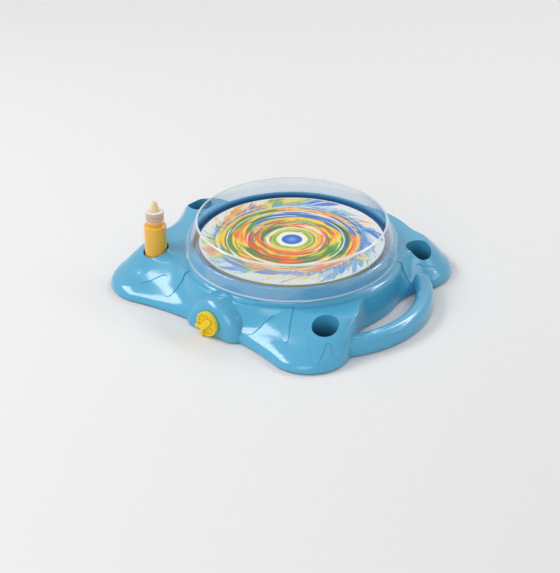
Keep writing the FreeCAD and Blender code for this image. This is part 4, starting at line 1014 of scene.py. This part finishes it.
@dataclass
class Studio:
    """The pale floor, the soft lights and the camera."""

    azimuth: float = 41.867
    elevation: float = 28.436
    distance: float = 1.6554
    target: Triple = (0.0, 0.0, 0.03269)
    lens: float = 113.08
    sensor: float = 36.0
    shift: Span = (-0.0208, -0.0598)
    far_end: float = 50.0
    floor_size: float = 60.0
    floor_tone: float = 0.82
    floor_rough: float = 0.9
    room_light: float = 0.38
    room_seen: float = 0.80
    lamps: tuple[Lamp, ...] = (
        Lamp("left_box", (-0.87, -0.64, 1.17), (1.05, 0.42), 11.5),
        Lamp("back_box", (0.08, 1.12, 1.10), (1.5, 0.16), 7.0),
        Lamp("front_box", (0.70, -1.35, 0.95), (0.9, 0.9), 6.0),
        Lamp("right_box", (1.10, 0.90, 0.85), (0.6, 0.6), 2.2),
        Lamp("low_box", (0.55, -1.50, 0.22), (1.2, 0.3), 3.2, mirrored=False),
    )

    def build(self) -> None:
        """Make the whole studio."""
        bpy.context.scene.view_settings.view_transform = "Standard"
        self.build_world()
        self.build_floor()
        self.build_camera()
        for lamp in self.lamps:
            lamp.hang(Vector(self.target))

    def build_world(self) -> None:
        """Light the scene evenly from all round, with a paler room behind it for the eye and for gloss."""
        world = bpy.data.worlds.new("soft_room")
        world.use_nodes = True
        graph = Graph(world.node_tree)
        room = world.node_tree.nodes["Background"]
        room.inputs["Color"].default_value = WHITE
        seen = graph.put("ShaderNodeLightPath").outputs
        pale = graph.sum_up("MAXIMUM", seen["Is Camera Ray"],
                            graph.sum_up("MAXIMUM", seen["Is Glossy Ray"], seen["Is Transmission Ray"]))
        graph.feed(room.inputs["Strength"],
                   graph.sum_up("MULTIPLY_ADD", pale, self.room_seen - self.room_light, self.room_light))
        bpy.context.scene.world = world

    def build_floor(self) -> None:
        """Lay the pale floor."""
        bpy.ops.mesh.primitive_plane_add(size=self.floor_size, location=(0.0, 0.0, 0.0))
        floor = bpy.context.active_object
        floor.name = "floor"
        paper = open_material("floor_paper", Base_Color=(*(self.floor_tone,) * 3, 1.0),
                              Roughness=self.floor_rough)[0]
        floor.data.materials.append(paper)

    def build_camera(self) -> None:
        """Stand the camera where it sees the machine from the front right."""
        turn, rise = math.radians(self.azimuth), math.radians(self.elevation)
        away = Vector((math.sin(turn) * math.cos(rise), -math.cos(turn) * math.cos(rise), math.sin(rise)))
        data = bpy.data.cameras.new("camera")
        data.sensor_fit = "VERTICAL"
        data.sensor_height = self.sensor
        data.lens = self.lens
        data.shift_x, data.shift_y = self.shift
        data.clip_end = self.far_end
        camera = bpy.data.objects.new("camera", data)
        bpy.context.scene.collection.objects.link(camera)
        camera.location = Vector(self.target) + away * self.distance
        camera.rotation_euler = (-away).to_track_quat("-Z", "Y").to_euler()
        bpy.context.scene.camera = camera


# ---------------------------------------------------------------- pieces


def looks_up(centre: Vector, normal: Vector) -> bool:
    """Say whether a face looks up."""
    return normal.z > FLAT


def looks_down(centre: Vector, normal: Vector) -> bool:
    """Say whether a face looks down."""
    return normal.z < -FLAT


@dataclass
class Blank:
    """One mesh on the bench, shaped by steps in edit mode."""

    piece: bpy.types.Object

    @classmethod
    def rod(cls, name: str, radius: float, low: float, high: float, sides: int) -> "Blank":
        """Start from an upright rod about the Z axis.

        Args:
            name: The piece's name.
            radius: The rod's radius in millimetres.
            low: Height of its foot in millimetres.
            high: Height of its top in millimetres.
            sides: How many sides stand round it.

        Returns:
            The blank.
        """
        cls.clear_bench()
        bpy.ops.mesh.primitive_cylinder_add(
            vertices=sides, radius=radius * MM, depth=(high - low) * MM, end_fill_type="NGON",
            location=(0.0, 0.0, (low + high) / 2 * MM))
        return cls.named(name)

    @classmethod
    def block(cls, name: str, low: Triple, high: Triple) -> "Blank":
        """Start from a block.

        Args:
            name: The piece's name.
            low: Its lowest corner in millimetres.
            high: Its highest corner in millimetres.

        Returns:
            The blank.
        """
        cls.clear_bench()
        centre = [(a + b) / 2 * MM for a, b in zip(low, high)]
        bpy.ops.mesh.primitive_cube_add(size=1.0, location=centre)
        bpy.context.active_object.scale = [(b - a) * MM for a, b in zip(low, high)]
        return cls.named(name)

    @staticmethod
    def clear_bench() -> None:
        """Leave edit mode and deselect everything."""
        if bpy.context.mode != "OBJECT":
            bpy.ops.object.mode_set(mode="OBJECT")
        bpy.ops.object.select_all(action="DESELECT")

    def hold(self) -> None:
        """Make this piece the only one that is selected, outside edit mode."""
        self.clear_bench()
        bpy.context.view_layer.objects.active = self.piece
        self.piece.select_set(True)

    @classmethod
    def named(cls, name: str) -> "Blank":
        """Name the new primitive and settle its place into its mesh.

        Args:
            name: The piece's name.

        Returns:
            The blank.
        """
        piece = bpy.context.active_object
        piece.name = name
        bpy.ops.object.transform_apply(location=True, rotation=True, scale=True)
        return cls(piece)

    def pick(self, test: Callable[[Vector, Vector], bool]) -> "Blank":
        """Select faces and stay in edit mode.

        Args:
            test: Whether a face is picked, by its centre in millimetres and its normal.

        Returns:
            The blank.
        """
        self.hold()
        bpy.ops.object.mode_set(mode="EDIT")
        bpy.ops.mesh.select_mode(type="FACE")
        bpy.ops.mesh.select_all(action="DESELECT")
        bpy.ops.object.mode_set(mode="OBJECT")
        for face in self.piece.data.polygons:
            face.select = test(face.center / MM, face.normal)
        bpy.ops.object.mode_set(mode="EDIT")
        return self

    def inset(self, width: float, rise: float = 0.0, each: bool = False) -> "Blank":
        """Inset the picked faces by millimetres, together or each, and raise what is inside."""
        bpy.ops.mesh.inset(thickness=width * MM, depth=rise * MM, use_individual=each)
        return self

    def draw_out(self, shift: Triple, stretch: Triple = (1, 1, 1)) -> "Blank":
        """Extrude the picked faces and resize their end about its own middle.

        Args:
            shift: How far they go, in millimetres.
            stretch: How many times wider their end becomes along each axis.

        Returns:
            The blank.
        """
        bpy.ops.mesh.extrude_region_move(
            TRANSFORM_OT_translate={"value": tuple(part * MM for part in shift)})
        if stretch != (1, 1, 1):
            bpy.ops.transform.resize(value=stretch)
        return self

    def drop_faces(self) -> "Blank":
        """Delete the picked faces."""
        bpy.ops.mesh.delete(type="FACE")
        return self

    def modify(self, kind: str, **settings: object) -> "Blank":
        """Add a modifier and apply it.

        Args:
            kind: The modifier's type name.
            **settings: Its settings.

        Returns:
            The blank.
        """
        self.hold()
        added = self.piece.modifiers.new(kind.lower(), kind)
        for name, value in settings.items():
            setattr(added, name, value)
        bpy.ops.object.modifier_apply(modifier=added.name)
        return self

    def soften(self, width: float, steps: int, angle: float) -> "Blank":
        """Round every edge sharper than an angle in degrees, over a width in millimetres."""
        return self.modify("BEVEL", width=width * MM, segments=steps, limit_method="ANGLE",
                           angle_limit=math.radians(angle))

    def carve(self, tool: "Blank") -> "Blank":
        """Cut a shape out and throw the tool away.

        Args:
            tool: The blank that has the shape.

        Returns:
            The blank.
        """
        self.modify("BOOLEAN", operation="DIFFERENCE", solver="EXACT", object=tool.piece)
        bpy.data.objects.remove(tool.piece, do_unlink=True)
        return self

    def weld(self, *others: "Blank") -> "Blank":
        """Join other blanks into this one.

        Args:
            *others: The other blanks.

        Returns:
            The blank.
        """
        self.hold()
        for other in others:
            other.piece.select_set(True)
        bpy.ops.object.join()
        return self

    def settle(self, place: Triple = (0.0, 0.0, 0.0), turn: Triple = (0.0, 0.0, 0.0)) -> "Blank":
        """Turn and move the mesh, and leave the object at the origin.

        Args:
            place: Where the mesh's origin goes, in millimetres.
            turn: How far it turns about each axis, in degrees.

        Returns:
            The blank.
        """
        self.hold()
        self.piece.rotation_euler = [math.radians(part) for part in turn]
        self.piece.location = [part * MM for part in place]
        bpy.ops.object.transform_apply(location=True, rotation=True, scale=True)
        return self

    def copy(self, name: str) -> "Blank":
        """Make a copy with a mesh of its own.

        Args:
            name: The copy's name.

        Returns:
            The copy.
        """
        twin = self.piece.copy()
        twin.data = self.piece.data.copy()
        twin.name = name
        bpy.context.scene.collection.objects.link(twin)
        return Blank(twin)

    def hand_over(self, material: bpy.types.Material, slot: str, body: Body, *nodes: str) -> None:
        """Finish the piece and let it ride on a body in place of CAD nodes.

        Args:
            material: The piece's material.
            slot: The record's material slot; not used.
            body: The body that it moves with.
            *nodes: The CAD nodes that it stands for.
        """
        self.hold()
        bpy.ops.object.shade_smooth_by_angle(angle=math.radians(SMOOTH_ANGLE))
        self.piece.data.materials.clear()
        self.piece.data.materials.append(material)
        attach(self.piece, body.value)
        if nodes:
            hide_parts(*nodes)
        LOG.info("made %s, %d faces, on %s", self.piece.name, len(self.piece.data.polygons), body.value)


@dataclass
class Screws:
    """Pan head screws with a cross recess, modelled once and copied. Sizes are in millimetres."""

    finishes: Finishes
    head_radius: float = 2.8
    head_height: float = 1.2
    head_edge: float = 0.7
    shank_radius: float = 1.25
    length: float = 10.2
    shank_share: float = 0.8
    point_share: float = 0.08
    point_width: float = 0.35
    recess_reach: float = 1.7
    recess_half: float = 0.3
    recess_depth: float = 0.8
    cut_past: float = 0.5
    first_turn: float = 11.0
    next_turn: float = 37.0
    head_on_top: tuple[str, ...] = ("clamp_screws",)
    axes: dict[str, tuple[Span, ...]] = field(default_factory=lambda: {
        "housing_screws": ((66.0, -94.0), (-66.0, -94.0), (34.0, 112.0), (-34.0, 112.0),
                           (-104.0, -34.0), (-104.0, 54.0)),
        "tray_screws": ((0.0, 70.0), (-60.622, -35.0), (60.622, -35.0)),
        "door_screw": ((42.2, 34.6),),
        "clamp_screws": ((-18.0, 0.0), (18.0, 0.0)),
    })

    def model(self) -> Blank:
        """Shape one screw that stands on its head at the origin.

        Returns:
            The screw.
        """
        screw = Blank.rod("screw_model", self.head_radius, 0.0, self.head_height, sides=32)
        screw.pick(looks_down).inset(self.head_edge)
        screw.pick(looks_up).inset(self.head_radius - self.shank_radius)
        screw.pick(lambda centre, normal: looks_up(centre, normal) and centre.xy.length < ON_AXIS)
        screw.draw_out((0.0, 0.0, self.length * self.shank_share))
        screw.draw_out((0.0, 0.0, self.length * self.point_share), (self.point_width, self.point_width, 1.0))
        screw.soften(width=0.3, steps=3, angle=50.0)
        reach, half = self.recess_reach, self.recess_half
        for name, x, y in (("screw_slot", reach, half), ("screw_cross", half, reach)):
            screw.carve(Blank.block(name, (-x, -y, -self.cut_past), (x, y, self.recess_depth)))
        return screw

    def build(self) -> None:
        """Put a copy in every hole, at the height where the CAD screws have their heads."""
        steel = self.finishes.get(Finish.SCREW_STEEL)
        model = self.model()
        for node, axes in self.axes.items():
            low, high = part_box(node)
            on_top = node in self.head_on_top
            height = (high.z if on_top else low.z) / MM
            for index, (x, y) in enumerate(axes):
                screw = model.copy(f"{node}_{index}_cross_head")
                turn = self.next_turn * index + self.first_turn
                screw.settle((x, y, height), (180.0 if on_top else 0.0, 0.0, turn))
                screw.hand_over(steel, "screw_steel", Body.MACHINE, *([node] if index == 0 else []))
        bpy.data.objects.remove(model.piece, do_unlink=True)


@dataclass
class Knob:
    """The control knob: a dished disc with a rim, a fish tailed grip and the stem behind it.

    It is shaped lying on its back with the grip along X. Sizes are in millimetres.
    """

    finishes: Finishes
    radius: float = 11.5
    thickness: float = 4.4
    dish: float = 2.6
    rim: float = 1.7
    slope: float = 0.5
    stem_radius: float = 3.0
    stem_length: float = 22.0
    stem_overlap: float = 0.2
    sunk: float = 0.4
    grip_half: Span = (2.2, 2.8)
    grip_rise: float = 3.5
    nose: tuple[tuple[Triple, Triple], ...] = (
        ((3.6, 0.0, 0.1), (1.0, 0.92, 1.0)),
        ((1.9, 0.0, -0.5), (1.0, 0.6, 0.8)),
    )
    tail: tuple[tuple[Triple, Triple], ...] = (
        ((-4.4, 0.0, 0.0), (1.0, 1.1, 1.0)),
        ((-3.4, 0.0, 0.0), (1.0, 1.7, 0.95)),
    )
    notch_radius: float = 2.9
    notch_place: float = -11.8
    notch_heights: Span = (-2.0, 12.0)
    point_radius: float = 1.9
    point_place: Span = (-10.3, 4.2)
    point_rise: float = 0.2
    rib_turns: tuple[float, ...] = (48.0, 90.0, 132.0, 270.0)
    rib_reach: Span = (4.0, 9.9)
    rib_half: float = 0.55
    rib_rise: float = 1.0
    turn: float = 45.0

    def disc(self) -> Blank:
        """Shape the disc with its raised rim and the stem.

        Returns:
            The disc.
        """
        disc = Blank.rod("knob_disc", self.radius, 0.0, self.thickness, sides=72)
        disc.pick(looks_up).inset(self.rim).inset(self.slope, self.dish - self.thickness)
        disc.soften(width=0.5, steps=3, angle=50.0)
        stem = Blank.rod("knob_stem", self.stem_radius, -self.stem_length, self.stem_overlap, sides=32)
        return disc.weld(stem.soften(width=0.2, steps=2, angle=50.0))

    def grip(self) -> Blank:
        """Shape the grip: a ridge that widens to a tail with two round points at the rim.

        Returns:
            The grip.
        """
        foot, top = self.dish - self.sunk, self.dish + self.grip_rise
        along, across = self.grip_half
        grip = Blank.block("knob_grip", (-along, -across, foot), (along, across, top))
        for side, steps in ((1, self.nose), (-1, self.tail)):
            grip.pick(lambda centre, normal: normal.x * side > FLAT)
            for shift, stretch in steps:
                grip.draw_out(shift, stretch)
        notch = Blank.rod("tail_notch", self.notch_radius, *self.notch_heights, sides=24)
        grip.carve(notch.settle((self.notch_place, 0.0, 0.0)))
        grip.soften(width=0.5, steps=3, angle=40.0)
        points = []
        for side in (-1, 1):
            point = Blank.rod(f"tail_point_{side}", self.point_radius, foot, top + self.point_rise, sides=24)
            point.soften(width=0.7, steps=3, angle=50.0)
            points.append(point.settle((self.point_place[0], self.point_place[1] * side, 0.0)))
        return grip.weld(*points)

    def ribs(self) -> list[Blank]:
        """Shape the four low ribs that stand in the dish beside the grip.

        Returns:
            The ribs.
        """
        made = []
        near, far = self.rib_reach
        for index, turn in enumerate(self.rib_turns):
            rib = Blank.block(f"knob_rib_{index}", (near, -self.rib_half, self.dish - self.sunk),
                              (far, self.rib_half, self.dish + self.rib_rise))
            made.append(rib.soften(width=0.3, steps=2, angle=40.0).settle(turn=(0.0, 0.0, turn)))
        return made

    def build(self) -> None:
        """Weld the knob, turn its grip and stand it on the axis of its joint."""
        knob = self.disc()
        grip = self.grip()
        knob.weld(grip, *self.ribs())
        knob.settle(turn=(0.0, 0.0, self.turn))
        knob.settle(joint_place("knob_turn"), (90.0, 0.0, 0.0))
        knob.hand_over(self.finishes.get(Finish.YELLOW_PLASTIC), "yellow_plastic", Body.KNOB, "control_knob")


@dataclass
class BottleCap:
    """The clear screw cap of the paint bottle, with grip ribs round it. Sizes are in millimetres."""

    finishes: Finishes
    radius: float = 8.2
    hole: float = 4.6
    ribs: int = 18
    rib_edge: float = 0.18
    rib_rise: float = 0.38
    wall: float = 0.9

    def build(self) -> None:
        """Shape the cap and stand it where the CAD cap stands."""
        low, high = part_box("nozzle_cap")
        cap = Blank.rod("ribbed_cap", self.radius, 0.0, (high.z - low.z) / MM, sides=self.ribs * 2)
        cap.pick(looks_down).drop_faces()
        cap.pick(looks_up).inset(self.radius - self.hole).drop_faces()
        cap.pick(self.on_rib).inset(self.rib_edge, self.rib_rise, each=True)
        cap.modify("SOLIDIFY", thickness=self.wall * MM, offset=-1.0)
        cap.soften(width=0.15, steps=2, angle=50.0)
        cap.settle(bottle_place(low.z))
        cap.hand_over(self.finishes.get(Finish.CLEAR_CAP), "clear_plastic", Body.BOTTLE_TOP, "nozzle_cap")

    def on_rib(self, centre: Vector, normal: Vector) -> bool:
        """Say whether a face is one of the side faces that become ribs, which is every other one."""
        share = math.atan2(centre.y, centre.x) / math.tau * self.ribs * 2
        return abs(normal.z) < UPRIGHT and math.floor(share) % 2 == 0


@dataclass
class Nozzle:
    """The bottle's dropper tip: a blunt cone on a flange, open at its end. Sizes are in millimetres."""

    finishes: Finishes
    flange: float = 6.3
    flange_height: float = 1.2
    foot: float = 4.3
    foot_height: float = 4.4
    tip: float = 2.35
    bore: float = 0.7
    bore_depth: float = 3.0
    clearance: float = 0.05

    def build(self) -> None:
        """Shape the tip and stand it where the CAD nozzle stands, a little inside its box."""
        low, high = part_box("nozzle")
        height = (high.z - low.z) / MM - 2 * self.clearance
        nozzle = Blank.rod("dropper_tip", self.flange, 0.0, self.flange_height, sides=40)
        nozzle.pick(looks_up).inset(self.flange - self.foot)
        nozzle.draw_out((0.0, 0.0, self.foot_height))
        narrowing = self.tip / self.foot
        nozzle.draw_out((0.0, 0.0, height - self.flange_height - self.foot_height),
                        (narrowing, narrowing, 1.0))
        nozzle.inset(self.tip - self.bore).draw_out((0.0, 0.0, -self.bore_depth))
        nozzle.soften(width=0.45, steps=3, angle=30.0)
        nozzle.settle(bottle_place(low.z + self.clearance * MM))
        nozzle.hand_over(self.finishes.get(Finish.NOZZLE_TINT), "nozzle_tint", Body.BOTTLE_TOP, "nozzle")


@dataclass
class Machine:
    """The CAD nodes and the finish of each."""

    finishes: Finishes
    wear: dict[str, Finish] = field(default_factory=lambda: {
        "top_housing": Finish.BLUE_SHELL,
        "base_plate": Finish.BLUE_BASE,
        "battery_door": Finish.BLUE_BASE,
        "rubber_feet": Finish.FOOT_RUBBER,
        "d_cell": Finish.CELL_SLEEVE,
        "negative_contact": Finish.CONTACT_METAL,
        "positive_contact": Finish.CONTACT_METAL,
        "battery_spring": Finish.CONTACT_METAL,
        "motor_can": Finish.MOTOR_STEEL,
        "motor_end_cap": Finish.WHITE_PLASTIC,
        "motor_rotor": Finish.MOTOR_STEEL,
        "motor_magnets": Finish.MAGNET,
        "motor_terminals": Finish.CONTACT_METAL,
        "motor_clamp": Finish.SCREW_STEEL,
        "paint_tray": Finish.DEEP_BLUE,
        "drive_bush": Finish.WHITE_PLASTIC,
        "turntable": Finish.YELLOW_PLASTIC,
        "paper_disc": Finish.SPUN_PAPER,
        "splash_guard": Finish.CLEAR_GUARD,
        "knob_clip": Finish.SCREW_STEEL,
        "switch_bracket": Finish.WHITE_PLASTIC,
        "switch_cam": Finish.WHITE_PLASTIC,
        "switch_contacts": Finish.CONTACT_METAL,
        "red_lead": Finish.LEAD_RED,
        "white_lead": Finish.LEAD_WHITE,
        "black_lead": Finish.LEAD_BLACK,
        "bottle_body": Finish.PAINTED_BOTTLE,
        "paint_fill": Finish.PAINT_YELLOW,
    })

    def build(self) -> None:
        """Dress every node and make the pieces that stand in for some of them."""
        for node, finish in self.wear.items():
            dress(node, self.finishes.get(finish))
        Screws(self.finishes).build()
        Knob(self.finishes).build()
        BottleCap(self.finishes).build()
        Nozzle(self.finishes).build()


def main() -> None:
    """Build the studio and the machine."""
    logging.basicConfig(level=logging.INFO, format="%(message)s")
    Studio().build()
    Machine(Finishes()).build()


if __name__ == "__main__":
    main()
